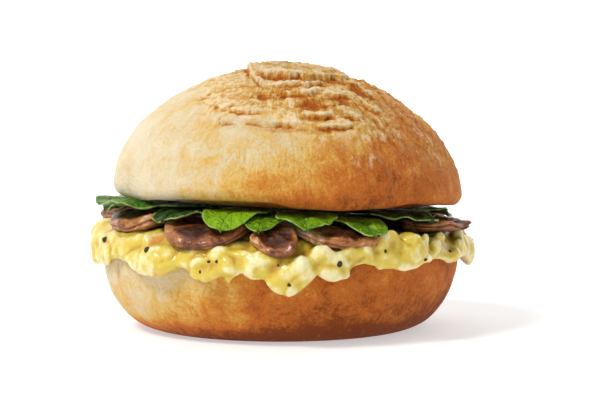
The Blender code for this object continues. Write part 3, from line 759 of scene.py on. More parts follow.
def crust_material(look):
    """Baked crust: pale and floury to deep brown by the bake, torn plates on top, with painted shade in
    their crevices and a painted highlight along their lips.
    """
    paint = Paint("crust", (1.8, 1.0, 0.5), Specular_IOR_Level=0.14, Subsurface_Weight=0.04)
    place = paint.place()
    flow = paint.attribute("flow", output=1)
    streaks = paint.noise(flow, 1.4, detail=6, rough=0.7, warp=0.6)
    mottle = paint.noise(place, 7, detail=8, rough=0.72, warp=0.6)
    grain = paint.noise(place, 0.8, detail=3, rough=0.6)
    pull = paint.attribute("pull")
    bake = paint.attribute("bake")
    fleck = (streaks - 0.5) * (0.26 + bake * 0.30 + pull * 1.3)
    bake = bake + (mottle - 0.5) * 1.05 + fleck + (grain - 0.5) * 0.42
    colour = paint.shades(
        bake,
        look.crust_floury,
        (-0.02, 0.26, look.crust_pale),
        (0.18, 0.44, look.crust_gold),
        (0.38, 0.60, look.crust_amber),
        (0.55, 0.82, look.crust_brown),
        (0.80, 1.18, look.crust_dark),
    )
    scatter = paint.noise(place, 2.2, detail=7, rough=0.8)
    specks = paint.rise(streaks + (scatter - 0.5) * 0.9 + pull * 0.08, 0.57, 0.70)
    colour = paint.mix(specks * 0.18, colour, look.crust_gold)
    colour = paint.mix(specks * pull * 0.85, colour, look.crust_plate)
    torn = paint.attribute("torn")
    patches = paint.noise(place, 4.5, detail=6, rough=0.75, warp=1.4)
    flakes = paint.noise(paint.attribute("ring", output=1), 1.6, detail=6, rough=0.75, warp=0.5)
    wrinkles = paint.noise(flow, 0.9, detail=4, rough=0.7)
    # Painted light on the torn crust: flour and pale plates where the hollow mark holds the lip
    # highlight, amber and crevice colour as painted shade where it is deep.
    deep = paint.attribute("hollow") + (flakes - 0.5) * 1.5 + (patches - 0.5) * 2.2
    deep = deep + (wrinkles - 0.5) * 1.6 + (bake - 0.36) * 0.4
    tear = paint.shades(
        deep,
        look.flour_and_lip_highlight,
        (-0.60, -0.15, look.crust_plate),
        (-0.06, 0.20, look.crust_gold),
        (0.16, 0.46, look.crust_amber),
        (0.46, 0.90, look.crust_crevice_shade),
    )
    crack = paint.rise(abs(flakes - 0.5), 0.026, 0.004) * paint.rise(patches, 0.46, 0.58)
    tear = paint.mix(crack * 0.5, tear, look.crust_amber)
    colour = paint.mix(paint.rise(torn + (mottle - 0.5) * 0.8, 0.10, 0.70) * 0.95, colour, tear)
    # Painted shade: the hollows darkened to amber and crevice colour.
    sunk = paint.rise(paint.attribute("hollow") + (flakes - 0.5) * 0.8, 0.28, 0.95)
    bottom = paint.rise(scatter + (patches - 0.5) * 0.4, 0.36, 0.50)
    bottom = paint.mix(bottom, look.crust_amber, look.crust_crevice_shade)
    colour = paint.mix(sunk * 0.85, colour, bottom)
    height = (flakes + wrinkles + scatter) * 0.5
    height = streaks * (0.6 + pull * 0.8) + grain * 0.65 + mottle * 0.7 + height * torn
    rough = paint.noise(place, 6, detail=2) * 0.2 + 0.62
    return paint.feed(Base_Color=colour, Roughness=rough, Normal=paint.bump(height, 1.1, 0.95))


def tongue_tip(bearing):
    """Height of the egg's lower edge at a bearing."""
    height = EGG_EDGE_HEIGHT
    for centre, tip, half_width in EGG_TONGUES:
        away = abs(turned(bearing, centre)) / half_width
        if away < 1.7:
            drop = (tip - EGG_EDGE_HEIGHT) * math.exp(-1.6 * away**2.4)
            height = min(height, EGG_EDGE_HEIGHT + drop)
    return height


def large_curds(bearing, angle):
    """How far the larger curds stand out at a bearing, at an angle on the egg's shoulder."""
    rise = 0.0
    for centre, middle, most, half_width in EGG_CURDS:
        away = turned(bearing, centre) / half_width
        rise += most * bell(away) * bell((math.degrees(angle) - middle) / EGG_CURD_HALF_ANGLE)
    return rise


def small_curds(bearing, angle):
    """Relief of the egg: soft lumps on the skirt, none under the mushroom slices."""
    spot = at_bearing(62.0, bearing, 0) + Vector((0, 0, math.degrees(angle) * 0.3))
    lump = noise.noise(spot / 7.5) * 1.5 + noise.noise(spot / 4.0 + Vector((5, 5, 5))) * 0.6
    shown = 1 - smoothstep(20, 50, math.degrees(angle))
    return lump * MM * shown


def shoulder_angle(height):
    """Angle on the egg's shoulder at a height: 90 degrees is the flat top."""
    return math.asin(max(-1.0, 1 - (EGG_TOP - height) / EGG_SHOULDER_HIGH))


def egg_outside(bearing, angle):
    """A point of the egg's outer side, at an angle on its shoulder."""
    tip = tongue_tip(bearing)
    lowest = shoulder_angle(tip)
    height = EGG_TOP - EGG_SHOULDER_HIGH * (1 - math.sin(angle))
    inside = heel_side_radius(height) + GAP
    if angle > 0:
        full = EGG_FLAT_RADIUS + EGG_SHOULDER_WIDE * math.cos(angle)
    else:
        full = inside + EGG_SKIRT_THICKNESS
    rising = min(1.0, max(0.0, (height - tip) / EGG_LIP_ROUND))
    lip = math.sqrt(1 - (1 - rising) ** 2)
    thick = (full - inside) * lip
    bulge = small_curds(bearing, angle) * lip + large_curds(bearing, angle) * lip
    radius = inside + thick + bulge * math.cos(angle)
    height += bulge * math.sin(angle)
    share = (angle - lowest) / (RIGHT_ANGLE - lowest)
    radius *= 1 + (out_of_round(bearing) - 1) * (1 - share)
    return leant(at_bearing(radius, bearing, height), angle)


def egg_inside(bearing, share):
    """A point of the egg's inner side on the heel: share 0 is the cut face's rim, 1 the skirt's tip."""
    rim_share = 0.4
    if share < rim_share:
        angle = RIGHT_ANGLE * (1 - share / rim_share)
        round_over = HEEL_RIM_ROUND + GAP
        radius = HEEL_RADIUS - HEEL_RIM_ROUND + round_over * math.cos(angle)
        height = HEEL_HEIGHT - HEEL_RIM_ROUND + round_over * math.sin(angle)
    else:
        top = HEEL_HEIGHT - HEEL_RIM_ROUND
        height = top + (tongue_tip(bearing) - top) * (share - rim_share) / (1 - rim_share)
        radius = heel_side_radius(height) + GAP
    return at_bearing(radius * out_of_round(bearing), bearing, height)


def egg_point(around, along):
    """The egg's surface: along 0 is the middle of its underside, 1 the middle of its top."""
    bearing = 2 * math.pi * around
    row = along * EGG_ROWS
    if row < 1.5:
        radius = (HEEL_RADIUS - HEEL_RIM_ROUND) * row
        return at_bearing(radius * out_of_round(bearing), bearing, HEEL_HEIGHT + GAP)
    row -= 1
    if row < EGG_INSIDE_ROWS + 0.5:
        return egg_inside(bearing, row / EGG_INSIDE_ROWS)
    row -= EGG_INSIDE_ROWS
    if row < EGG_OUTSIDE_ROWS + 0.5:
        lowest = shoulder_angle(tongue_tip(bearing))
        return egg_outside(bearing, lowest + (RIGHT_ANGLE - lowest) * row / EGG_OUTSIDE_ROWS)
    point = at_bearing(EGG_FLAT_RADIUS * (EGG_OUTSIDE_ROWS + 2 - row) / 2, bearing, EGG_TOP)
    point.z += lean(point.x)
    return point


def curd(bm, bearing, height, wide, high, deep, tilt):
    """A soft lump on the egg's skirt, half sunk in it: sizes in millimetres."""
    bearing = math.radians(bearing)
    lowest = shoulder_angle(tongue_tip(bearing)) + math.radians(6)
    level = shoulder_angle(min(height * MM, EGG_TOP - 0.1 * MM))
    centre = egg_outside(bearing, max(lowest, level))
    centre.z = height * MM
    outward = Vector((math.sin(bearing), -math.cos(bearing), 0))
    stand = outward.to_track_quat("Z", "Y").to_matrix().to_4x4()
    sizes = [size * share * MM for size, share in zip((wide, high, deep), CURD_SHARES)]
    turn = Matrix.Rotation(math.radians(tilt), 4, "Z")
    sunk = Matrix.Translation(centre - outward * deep * CURD_SINK * MM)
    place = sunk @ stand @ turn @ Matrix.Diagonal((*sizes, 1.0))
    bmesh.ops.create_icosphere(bm, subdivisions=3, radius=1.0, matrix=place)


def slice_edge_height(bearing):
    """Height in mm under which the egg is clear of the mushroom slices at a bearing in degrees."""
    height = EGG_SHOWN_TOP
    for middle, distance, width, _, _, length in RIM_MUSHROOMS:
        away = abs(turned(math.radians(bearing), middle))
        half = math.degrees(width / 2 / distance)
        if away < half:
            reach = 0.5 * width * length * math.sqrt(1 - (away / half) ** 2)
            angle = 90 - math.degrees(max(0.0, distance + reach - EGG_FLAT_RADIUS) / SHELL_BEND)
            edge = EGG_TOP - EGG_SHOULDER_HIGH * (1 - math.sin(math.radians(angle)))
            height = min(height, edge / MM - 1.0)
    return height


def relax(bm):
    """Smooths a mesh."""
    axes = {"use_axis_x": True, "use_axis_y": True, "use_axis_z": True}
    for _ in range(EGG_SMOOTHINGS):
        bmesh.ops.smooth_vert(bm, verts=bm.verts, factor=0.5, **axes)
    bm.normal_update()


def egg_mesh(voxel):
    """Scrambled egg: the layer with its skirt, soft curds grown onto it and melted together."""
    bm = wrapped_grid(EGG_COLUMNS, EGG_ROWS, egg_point)
    draw = random.Random(5)
    for place in FRONT_CURDS:
        curd(bm, *place, draw.uniform(-12, 12))
    for count, first, span, clear, least, more, rarity, high, deep in LOOSE_CURDS:
        for index in range(count):
            bearing = first + span * (index + draw.random()) / count
            lowest = tongue_tip(math.radians(bearing)) / MM + clear
            height = lowest + (slice_edge_height(bearing) - lowest) * draw.random()
            size = least + more * draw.random() ** rarity
            curd(bm, bearing, height, size, size * high, size * deep, draw.uniform(-50, 50))
    holder = mesh_object(bm, "egg_rough")
    rough = holder.data
    remesh = holder.modifiers.new("melt", "REMESH")
    remesh.mode = "VOXEL"
    remesh.voxel_size = voxel
    melted = holder.evaluated_get(bpy.context.evaluated_depsgraph_get()).to_mesh()
    bm = bmesh.new()
    bm.from_mesh(melted)
    bpy.data.objects.remove(holder)
    bpy.data.meshes.remove(rough)
    relax(bm)
    toasted, hollow = marks(bm, "float", "toasted", "hollow")
    for vert in bm.verts:
        reach = math.hypot(vert.co.x, vert.co.y)
        if reach < EGG_FLAT_RADIUS * 0.9:
            continue
        bearing = bearing_of(vert.co.x, vert.co.y)
        crease = max(0.0, 1 - 5 * abs(rumple(vert.co, 9.0, 44)))
        fold = 1.1 * rumple(vert.co, 8.0, 41) + 0.5 * rumple(vert.co, 4.0, 42)
        fold += 0.14 * rumple(vert.co, 1.8, 43)
        across = math.radians(turned(bearing, TOASTED_SPOT[0])) * reach / MM
        level = vert.co.z / MM - TOASTED_SPOT[1] - 0.2 * across
        vert[toasted] = math.exp(-((across / TOASTED_SPOT[2]) ** 2) - (level / TOASTED_SPOT[3]) ** 2)
        vert.co += vert.normal * (fold + 0.15 - 0.32 * crease - 1.2 * vert[toasted]) * MM
    calm = bm.copy()
    relax(calm)
    bm.normal_update()
    bm.verts.ensure_lookup_table()
    calm.verts.ensure_lookup_table()
    # The hollow mark: how far each point lies under the smoothed surface, which the egg's colour turns
    # into painted shade in the folds and a painted highlight on the curds.
    for vert, still in zip(bm.verts, calm.verts):
        vert[hollow] = (still.co - vert.co).dot(vert.normal) / MM
    calm.free()
    return bm


def egg_material(look):
    """Soft scrambled egg: moist, with a painted highlight paling the tops of the curds and painted shade
    deepening the yellow in the folds.
    """
    gloss = {"Specular_IOR_Level": 0.5, "Coat_Weight": 0.30, "Coat_Roughness": 0.08}
    paint = Paint("egg", (2.4, 1.4, 0.4), Subsurface_Weight=0.14, **gloss)
    place = paint.place()
    hollow = paint.attribute("hollow")
    clouds = paint.noise(place, 8, detail=4, warp=0.8)
    fine = paint.noise(place, 2.0, detail=5, rough=0.65)
    # Cream on the raised curds as painted highlight, and in cloudy patches of the egg's own colour.
    deep = paint.rise(hollow + (clouds - 0.5) * 1.1 + (fine - 0.5) * 0.5, -0.42, -0.06)
    colour = paint.mix(deep, look.egg_cream_and_highlight, look.egg_yellow)
    # Painted shade: deeper yellow in the folds.
    deeper = paint.rise(hollow + (clouds - 0.5) * 0.5 + (fine - 0.5) * 0.2, -0.08, 0.22)
    colour = paint.mix(deeper * 0.85, colour, look.egg_fold_shade)
    toasted = paint.rise(paint.attribute("toasted") + (fine - 0.5) * 0.4, 0.08, 0.85)
    colour = paint.mix(toasted * 0.9, colour, look.egg_toasted)
    rough = 0.24 + fine * 0.24
    height = fine * 0.8 + paint.noise(place, 0.7, detail=3) * 0.4
    return paint.feed(Base_Color=colour, Roughness=rough, Normal=paint.bump(height, 0.7, 0.8))


def pepper_mesh(surface):
    """Flakes of coarse pepper on the surface of the egg's skirt."""
    draw = random.Random(11)
    places = list(PEPPER)
    for index in range(BACK_PEPPER):
        bearing = 85 + 190 * (index + 0.7 * draw.random()) / BACK_PEPPER
        places.append((bearing, (26 + 4.5 * draw.random()) * MM, (1.2 + 0.7 * draw.random()) * MM))
    bm = bmesh.new()
    for bearing, height, size in places:
        start = at_bearing(RAY_START, math.radians(bearing), height)
        point = surface.ray_cast(start, -Vector((start.x, start.y, 0)))[0]
        flake = bmesh.ops.create_icosphere(bm, subdivisions=2, radius=size / 2)["verts"]
        squash = Vector([draw.uniform(0.6, 1.1) for _ in range(3)])
        for vert in flake:
            vert.co *= 0.85 + 0.3 * draw.random()
            vert.co *= squash
        bmesh.ops.translate(bm, verts=flake, vec=point - start.normalized() * 0.15 * size)
    return bm


def pepper_material(look):
    """Cracked black pepper."""
    paint = Paint("pepper", Specular_IOR_Level=0.4)
    place = paint.place()
    grain = paint.noise(place, 0.5, detail=2)
    colour = paint.mix(grain, look.pepper, srgb(78, 52, 34))
    return paint.feed(Base_Color=colour, Roughness=0.45 + grain * 0.3, Normal=paint.bump(grain, 0.2))


def shell(across, out, lift):
    """A point at a lift over the egg: across and out are its place on the shell rolled out flat."""
    distance = math.hypot(across, out)
    bearing = math.atan2(across, out)
    angle = RIGHT_ANGLE - max(0.0, distance - EGG_FLAT_RADIUS) / SHELL_BEND
    normal = Vector((math.cos(angle) / EGG_SHOULDER_WIDE, math.sin(angle) / EGG_SHOULDER_HIGH))
    normal.normalize()
    radius = distance
    if distance > EGG_FLAT_RADIUS:
        radius = EGG_FLAT_RADIUS + EGG_SHOULDER_WIDE * math.cos(angle)
    height = EGG_TOP - EGG_SHOULDER_HIGH * (1 - math.sin(angle))
    return leant(at_bearing(radius + normal.x * lift, bearing, height + normal.y * lift), angle)


def mushroom_reach(width, length, angle):
    """From the middle of a slice to its edge: a cap outwards and a stem inwards."""
    cap = 0.5 * width * length / math.hypot(length * math.cos(angle), math.sin(angle))
    inwards = max(0.0, -math.sin(angle))
    gills = cap * (1 - 0.4 * smoothstep(0.2, 0.8, inwards))
    return max(gills, 0.48 * width * smoothstep(0.9, 0.99, inwards))


def slice_section(along):
    """Where a slice's surface is in its section: share of its reach and of its thickness."""
    if along < 0.25:
        return along / 0.25 * SLICE_FACE_SHARE, 0.0
    if along < 0.6:
        turn = math.radians(180) * (along - 0.25) / 0.35
        reach = SLICE_FACE_SHARE + (1 - SLICE_FACE_SHARE) * math.sin(turn)
        return reach, 0.5 - 0.5 * math.cos(turn)
    share = (1 - along) / 0.4
    return SLICE_FACE_SHARE * share, 1.0 - 0.2 * (1 - smoothstep(0.45, 0.95, share))


def slice_rim(_, along):
    """1 on the rim of a slice, 0 on its faces."""
    return smoothstep(0.22, 0.34, along) * (1 - smoothstep(0.58, 0.74, along))


def mushroom_mesh(index, tone, bearing, distance, width, turn, stiffness, length):
    """A fried mushroom slice lying on the egg, bent over its shoulder, shrivelled and grooved."""
    start = math.radians(bearing)
    yaw = math.radians(turn)
    seed = 50 + 3 * index

    def place(around, along):
        angle = 2 * math.pi * around
        share, rise = slice_section(along)
        ring = Vector((math.cos(angle), math.sin(angle), 0)) * 0.004
        wobble = 1 + 0.09 * rumple(ring, 3.5, seed) + 0.06 * rumple(ring, 1.5, seed)
        wobble -= 0.045 * bell((rise - 0.60) / 0.10) * smoothstep(0.5, 0.9, share)
        reach = mushroom_reach(width, length, angle) * share * wobble
        across = reach * math.cos(angle + yaw)
        out = reach * math.sin(angle + yaw) + distance
        spot = Vector((across, out, rise * MUSHROOM_THICKNESS))
        groove = Vector((math.cos(angle) * 3.2, math.sin(angle) * 3.2, share * 2)) * MM
        dent = 1.1 * rumple(spot, 7, seed) + 0.35 * abs(rumple(spot, 3.4, seed + 1))
        dent += 0.10 * rumple(spot, 1.0, seed)
        dent += 0.30 * rumple(groove, 0.7, seed) * share
        across, out = swung(across, out, start)
        over = max(0.0, math.hypot(across, out) - EGG_FLAT_RADIUS)
        thick = MUSHROOM_THICKNESS * (0.84 + 0.35 * rumple(ring, 2.2, seed + 2) * share)
        lift = MUSHROOM_LIFT + rise * thick + stiffness * over * over / (2 * SHELL_BEND)
        lift += (dent - 0.25) * MM * smoothstep(0.1, 0.6, rise)
        return shell(across, out, lift)

    # Each slice's own tone, plus painted light on its left end, the side the key light comes from.
    def shade(around, _):
        return tone + 0.55 * max(0.0, -math.cos(2 * math.pi * around)) ** 2

    def layer(_, along):
        return slice_section(along)[1]

    return wrapped_grid(MUSHROOM_COLUMNS, MUSHROOM_ROWS, place, rim=slice_rim, tone=shade, layer=layer)


def mushroom_material(look):
    """Fried mushroom: brown moist flesh and dark skin; the tan rim is partly the cut edge browned in the
    pan and partly painted highlight, with painted light on each slice's left end, a painted highlight in
    light pink, and painted shade in the rim's groove and on the lower rim and underside.
    """
    gloss = {"Specular_IOR_Level": 0.30, "Coat_Weight": 0.24, "Coat_Roughness": 0.06}
    paint = Paint("mushroom", (1.5, 0.8, 0.4), Subsurface_Weight=0.05, **gloss)
    place = paint.place()
    tone = paint.attribute("tone")
    layer = paint.attribute("layer")
    patches = paint.noise(place, 6, detail=5, rough=0.65, warp=1.0)
    fibres = paint.noise(paint.stretch(place, (0.7, 0.7, 1.5)), 1.6, detail=5, rough=0.7, warp=0.6)
    # The rim lighter: partly the browned cut edge, partly painted highlight.
    side = paint.rise(paint.attribute("rim") + (patches - 0.5) * 0.6 + (fibres - 0.5) * 0.3, 0.10, 0.70)
    fried = 0.5 + (patches - 0.5) * 0.8 + (fibres - 0.5) * 0.5 - (1 - layer) * 0.05
    brown = paint.rise(fried + side * 0.16, 0.34, 0.70)
    colour = paint.mix(brown, look.mushroom_dark_and_shade, look.mushroom_brown)
    tan = paint.rise(fried + tone * 0.34 + side * 0.26, 0.74, 1.14)
    colour = paint.mix(tan * 0.95, colour, look.mushroom_tan_and_highlight)
    # Painted highlight in light pink on the rim and the left ends.
    gleam = paint.rise(fried + tone * 0.36 + side * 0.22, 0.98, 1.24)
    colour = paint.mix(gleam * 0.9, colour, look.mushroom_highlight)
    # Painted shade in the groove round the rim and on the lower rim and underside.
    groove = paint.rise(abs(layer - 0.60), 0.10, 0.02)
    below = paint.rise(layer + (patches - 0.5) * 0.4, 0.42, 0.12)
    colour = paint.mix(paint.math("MAXIMUM", groove * 0.55, below * 0.65), colour, look.mushroom_dark_and_shade)
    rough = 0.26 + fibres * 0.26
    height = fibres * 0.5 + patches * 0.8
    return paint.feed(Base_Color=colour, Roughness=rough, Normal=paint.bump(height, 1.0, 0.9))


def leaf_wave(across, out):
    """The waves of the leaf layers, alike in both so that the layers nest."""
    spot = Vector((across, out, 0)) / MM
    size = 0.15 + 0.8 * smoothstep(50, 62, spot.length)
    return size * MM * (noise.noise(spot / 8.0) + 0.4 * noise.noise(spot / 4.5 + Vector((3, 8, 2))))


def leaf_fan(bearing, lift):
    """Tangent of half the angle that a leaf has to itself between its neighbours in its layer."""
    others = [place[0] for place in LEAVES if place[1] == lift and place[0] != bearing]
    nearest = min(abs(turned(math.radians(bearing), other)) for other in others)
    return math.tan(math.radians(nearest / 2 - 1.2))


def leaf_outline(share, tip, widest, point):
    """Distance from the axis and half width of a leaf, from its stem, share 0, to its tip, share 1."""
    widest_at = LEAF_STEM_DISTANCE + LEAF_WIDEST_SHARE * (tip - LEAF_STEM_DISTANCE)
    if share < 0.5:
        swell = math.sin(math.pi * share) ** 1.2
        out = LEAF_STEM_DISTANCE + (widest_at - LEAF_STEM_DISTANCE) * share / 0.5
        return out, LEAF_STEM_HALF_WIDTH + (widest - LEAF_STEM_HALF_WIDTH) * swell
    angle = LEAF_TIP_ANGLE * (share - 0.5) / 0.5
    return widest_at + (tip - widest_at) * math.sin(angle), widest * math.cos(angle) ** point


def leaf_mesh(index, tone, frill, thickness, bearing, lift, tip, widest, tip_lift, bend, point):
    """A spinach leaf from near the axis out past the rim, wavy at its edge and grooved along its rib."""
    bm = bmesh.new()
    bm.loops.layers.uv.new("leaf")
    bmesh.ops.create_grid(bm, x_segments=LEAF_COLUMNS, y_segments=LEAF_ROWS, size=0.5, calc_uvs=True)
    start = math.radians(bearing)
    fan = leaf_fan(bearing, lift)
    shade, = marks(bm, "float", "tone")
    for vert in bm.verts:
        side = vert.co.x * 2
        share = vert.co.y + 0.5
        out, half_width = leaf_outline(share, tip, widest, point)
        room = out * fan
        notch = Vector((out * 0.5, math.copysign(9 * MM, side), index))
        half_width *= 1 + 0.16 * frill * rumple(notch, 3.0, 95) * smoothstep(0.1, 0.5, share)
        half_width = min(half_width, 0.95 * room)
        spare = room - half_width
        across = side * half_width + min(spare, max(-spare, bend * (out / tip) ** 2))
        place = swung(across, out, start)
        height = lift + leaf_wave(*place)
        height += tip_lift * smoothstep(50 * MM, 60 * MM, out)
        edge = max(abs(side), smoothstep(0.75, 1.0, share))
        spot = Vector((*place, 0))
        free = smoothstep(LEAF_FREE_START, LEAF_FREE_END, out)
        height += free * edge**2 * frill * 1.7 * MM * rumple(spot, 5.0, 60 + index)
        height += free * frill * 1.2 * MM * rumple(spot, 6.0, 80 + index)
        height += free * frill * 0.55 * MM * (abs(rumple(spot, 2.8, 90 + index)) - 0.2)
        height -= free * 0.55 * MM * bell(side / 0.14)
        vert.co = shell(*place, height)
        vert[shade] = tone
    face_outwards(bm)
    bmesh.ops.solidify(bm, geom=bm.faces[:] + bm.edges[:] + bm.verts[:], thickness=thickness)
    bmesh.ops.recalc_face_normals(bm, faces=bm.faces)
    return bm


def leaf_material(look):
    """Spinach: waxy crinkled green with pale veins, painted shade in the creases of the crinkles and a
    painted highlight along the edge.
    """
    gloss = {"Specular_IOR_Level": 0.22, "Coat_Weight": 0.08, "Coat_Roughness": 0.12}
    paint = Paint("spinach", (0.6, 1.2, 0.3), Subsurface_Weight=0.05, **gloss)
    place = paint.place()
    across_leaf = paint.node("ShaderNodeUVMap", {"uv_map": "leaf"}, {})
    side = abs(paint.node("ShaderNodeSeparateXYZ", {}, {0: across_leaf}) - 0.5)
    along = paint.node("ShaderNodeSeparateXYZ", {}, {0: across_leaf}, output=1)
    patches = paint.noise(place, 5, detail=5, rough=0.65, warp=0.6)
    fine = paint.noise(place, 1.2, detail=4)
    crumple = abs(paint.noise(place, 4.2, detail=2, rough=0.5, warp=0.8) - 0.5) * 2
    # The crumple term darkens the creases of the crinkles: painted shade.
    tone = paint.attribute("tone") + (patches - 0.5) * 1.1 + (fine - 0.5) * 0.4 + (crumple - 0.2) * 0.35
    greens = ((0.10, 0.60, look.leaf_green), (0.58, 1.08, look.leaf_bright))
    colour = paint.shades(tone, look.leaf_dark, *greens)
    midrib = paint.rise(side, 0.030, 0.008)
    branch = paint.math("FRACT", along * 9.0 - side * 5.0)
    branch = paint.rise(abs(branch - 0.5), 0.07, 0.015) * paint.rise(side, 0.46, 0.30)
    veins = paint.math("MAXIMUM", midrib, branch * 0.5)
    colour = paint.mix(veins * 0.24, colour, look.leaf_vein_and_rim_highlight)
    # Painted highlight: a pale line along the leaf's edge.
    rim = paint.rise(side + (fine - 0.5) * 0.04, 0.468, 0.494) * paint.rise(patches, 0.34, 0.56)
    colour = paint.mix(rim * 0.8, colour, look.leaf_vein_and_rim_highlight)
    height = fine * 0.25 + patches * 0.6 + crumple * 1.2 - veins * 0.4
    rough = 0.24 + patches * 0.2
    return paint.feed(Base_Color=colour, Roughness=rough, Normal=paint.bump(height, 1.5, 0.9))


def colour_property(name, description, value):
    shape = {"size": 3, "min": 0.0, "max": 1.0, "subtype": "COLOR"}
    return FloatVectorProperty(name=name, description=description, default=value, **shape)


def length_property(name, description, value, least):
    unit = {"min": least, "unit": "LENGTH"}
    return FloatProperty(name=name, description=description, default=value, **unit)


def strength_property(name, description, value):
    return FloatProperty(name=name, description=description, default=value, min=0.0)


class SandwichLook(bpy.types.PropertyGroup):
    """Sizes and colours of the sandwich's finish."""

    crust_floury: colour_property("Floury crust", "Palest crust", srgb(236, 221, 189))
    crust_pale: colour_property("Pale crust", "Lightly baked crust", srgb(230, 206, 160))
    crust_gold: colour_property("Golden crust", "Golden crust", srgb(230, 188, 104))
    crust_amber: colour_property("Amber crust", "Amber crust", srgb(220, 152, 62))
    crust_brown: colour_property("Brown crust", "Well baked crust", srgb(202, 110, 40))
    crust_dark: colour_property("Dark crust", "Darkest crust", srgb(134, 62, 18))
    crust_plate: colour_property("Torn crust", "Plates of torn crust", srgb(252, 220, 170))
    # The crevice colour is painted shade, and the flour colour also paints the highlight along the
    # plates' lips.
    crust_crevice_shade: colour_property("Crevices", "Bottom of the crevices", srgb(178, 84, 16))
    flour_and_lip_highlight: colour_property("Flour", "Flour on the crust", srgb(252, 236, 206))
    # Painted light on the egg: a cream highlight on the curds and deeper yellow shade in the folds.
    egg_cream_and_highlight: colour_property("Light egg", "Tops of the curds", srgb(250, 238, 182))
    egg_yellow: colour_property("Yellow egg", "Sides of the curds", srgb(226, 199, 66))
    egg_fold_shade: colour_property("Deep egg", "Folds between the curds", srgb(192, 138, 20))
    egg_toasted: colour_property("Toasted egg", "Where the egg browned", srgb(212, 138, 22))
    pepper: colour_property("Pepper", "Cracked pepper", srgb(28, 20, 16))
    # Mushroom colours: the dark one also paints shade, the tan is partly painted highlight and the light
    # pink is painted highlight.
    mushroom_dark_and_shade: colour_property("Dark mushroom", "Darkest flesh", srgb(52, 20, 12))
    mushroom_brown: colour_property("Brown mushroom", "Fried flesh", srgb(120, 62, 32))
    mushroom_tan_and_highlight: colour_property("Tan mushroom", "Browned cut edge", srgb(206, 136, 76))
    mushroom_highlight: colour_property("Light mushroom", "Lightest flesh", srgb(246, 212, 176))
    # Leaf colours: the pale one serves the veins and a painted highlight along the edge.
    leaf_dark: colour_property("Dark leaf", "Darkest green", srgb(18, 48, 8))
    leaf_green: colour_property("Green leaf", "Middle green", srgb(60, 108, 18))
    leaf_bright: colour_property("Bright leaf", "Brightest green", srgb(132, 178, 22))
    leaf_vein_and_rim_highlight: colour_property("Leaf edge", "Pale edge and veins", srgb(170, 196, 104))
    egg_voxel: length_property("Egg detail", "Grain of the melted egg", 0.63 * MM, 0.4 * MM)
    leaf_thickness: length_property("Leaf thickness", "Thickness of a leaf", 0.45 * MM, 0.2 * MM)
    key_strength: strength_property("Key light", "Strength of the key light", 2.15)
    fill_strength: strength_property("Fill light", "Strength of the surroundings", 0.45)
    floor_colour: colour_property("Floor", "Colour of the floor", srgb(204, 204, 204))


class SANDWICH_OT_roll(bpy.types.Operator):
    """Models the two halves of the roll"""

    bl_idname = "sandwich.roll"
    bl_label = "Roll"

    def execute(self, context):
        crust = crust_material(context.scene.sandwich_look)
        add_piece(heel_mesh(), "roll_heel", crust, "crust", "heel")
        add_piece(crown_mesh(), "roll_crown", crust, "crust", "crown")
        return {"FINISHED"}


class SANDWICH_OT_egg(bpy.types.Operator):
    """Models the scrambled egg and the pepper on it"""

    bl_idname = "sandwich.egg"
    bl_label = "Egg"

    def execute(self, context):
        look = context.scene.sandwich_look
        egg = egg_mesh(look.egg_voxel)
        pepper = pepper_mesh(BVHTree.FromBMesh(egg))
        add_piece(egg, "scrambled_egg", egg_material(look), "egg", "egg")
        add_piece(pepper, "pepper", pepper_material(look), "egg", "egg")
        return {"FINISHED"}


class SANDWICH_OT_mushrooms(bpy.types.Operator):
    """Models the fried mushroom slices"""

    bl_idname = "sandwich.mushrooms"
    bl_label = "Mushrooms"

    def execute(self, context):
        material = mushroom_material(context.scene.sandwich_look)
        places = list(RIM_MUSHROOMS)
        for index in range(INNER_MUSHROOMS):
            bearing = 45 + 360 * index / INNER_MUSHROOMS
            places.append((bearing, INNER_MUSHROOM_DISTANCE, INNER_MUSHROOM_WIDTH, 20, 0.0, 0.8))
        tones = MUSHROOM_TONES + (INNER_MUSHROOM_TONE,) * INNER_MUSHROOMS
        for index, (place, tone) in enumerate(zip(places, tones), 1):
            bm = mushroom_mesh(index, tone, *place)
            add_piece(bm, f"mushroom_slice_{index:02d}", material, "mushroom", f"mushroom_{index:02d}")
        return {"FINISHED"}


class SANDWICH_OT_leaves(bpy.types.Operator):
    """Models the spinach leaves"""

    bl_idname = "sandwich.leaves"
    bl_label = "Spinach"

    def execute(self, context):
        look = context.scene.sandwich_look
        material = leaf_material(look)
        for index, (place, (tone, frill)) in enumerate(zip(LEAVES, LEAF_TONES), 1):
            bm = leaf_mesh(index, tone, frill, look.leaf_thickness, *place)
            add_piece(bm, f"spinach_{index:02d}", material, "spinach", f"leaf_{index:02d}")
        return {"FINISHED"}


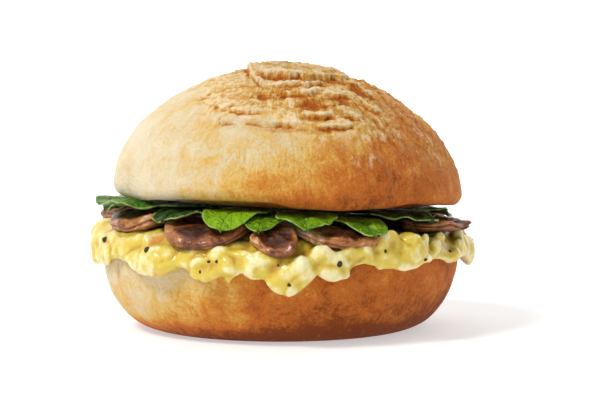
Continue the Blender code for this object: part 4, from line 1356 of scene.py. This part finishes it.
class SANDWICH_OT_stage(bpy.types.Operator):
    """Sets up the floor, the lit backdrop, the light and the camera"""

    bl_idname = "sandwich.stage"
    bl_label = "Stage"

    def execute(self, context):
        look = context.scene.sandwich_look
        scene = context.scene
        scene.view_settings.view_transform = "Standard"
        glow = {"Emission_Color": (1, 1, 1, 1)}
        floor = Paint("floor", Roughness=0.9, Specular_IOR_Level=0.1, Emission_Strength=0.47, **glow)
        wear = floor.noise(floor.place(), 40, detail=1) * 0.02
        floor.feed(Base_Color=floor.mix(wear, look.floor_colour, srgb(200, 200, 200)))
        self.square(floor.material, Matrix.Translation((0, 0, -0.05 * MM)))
        backdrop = Paint("backdrop", Roughness=1.0, Emission_Strength=1.0, **glow)
        upright = Matrix.Translation((0, BACKDROP_DISTANCE, 0)) @ Matrix.Rotation(RIGHT_ANGLE, 4, "X")
        self.square(backdrop.material, upright)
        world = bpy.data.worlds.new("surroundings")
        scene.world = world
        world.use_nodes = True
        background = world.node_tree.nodes["Background"]
        background.inputs["Color"].default_value = (1, 1, 1, 1)
        background.inputs["Strength"].default_value = look.fill_strength
        key = bpy.data.objects.new("key", bpy.data.lights.new("key", "SUN"))
        key.data.energy = look.key_strength
        key.data.angle = KEY_ANGLE
        key.rotation_euler = KEY_DIRECTION.to_track_quat("-Z", "Y").to_euler()
        scene.collection.objects.link(key)
        camera = bpy.data.objects.new("camera", bpy.data.cameras.new("camera"))
        away = Vector((0, -math.cos(CAMERA_ELEVATION), math.sin(CAMERA_ELEVATION)))
        camera.location = CAMERA_AIM + away * CAMERA_DISTANCE
        camera.rotation_euler = (RIGHT_ANGLE - CAMERA_ELEVATION, 0, 0)
        camera.data.sensor_width = SENSOR_WIDTH
        camera.data.lens = CAMERA_DISTANCE * SENSOR_WIDTH / FRAME_WIDTH
        camera.data.clip_start = 0.01
        scene.collection.objects.link(camera)
        scene.camera = camera
        return {"FINISHED"}

    def square(self, material, matrix):
        """A large square of the stage, named after its material."""
        bm = bmesh.new()
        bmesh.ops.create_grid(bm, x_segments=1, y_segments=1, size=STAGE_SIZE, matrix=matrix)
        piece = mesh_object(bm, material.name, material)


OPERATORS = (
    SANDWICH_OT_roll,
    SANDWICH_OT_egg,
    SANDWICH_OT_mushrooms,
    SANDWICH_OT_leaves,
    SANDWICH_OT_stage,
)


class SANDWICH_PT_panel(bpy.types.Panel):
    """Lists the steps and the finish of the sandwich"""

    bl_idname = "SANDWICH_PT_panel"
    bl_label = "Sandwich"
    bl_space_type = "VIEW_3D"
    bl_region_type = "UI"
    bl_category = "Sandwich"

    def draw(self, context):
        look = context.scene.sandwich_look
        for name in SandwichLook.__annotations__:
            self.layout.prop(look, name)
        for operator in OPERATORS:
            self.layout.operator(operator.bl_idname)


CLASSES = (SandwichLook, *OPERATORS, SANDWICH_PT_panel)


def register():
    for item in CLASSES:
        bpy.utils.register_class(item)
    bpy.types.Scene.sandwich_look = PointerProperty(type=SandwichLook)


def unregister():
    del bpy.types.Scene.sandwich_look
    for item in reversed(CLASSES):
        bpy.utils.unregister_class(item)


def main():
    register()
    bpy.ops.sandwich.roll()
    bpy.ops.sandwich.egg()
    bpy.ops.sandwich.mushrooms()
    bpy.ops.sandwich.leaves()
    bpy.ops.sandwich.stage()


if __name__ == "__main__":
    main()
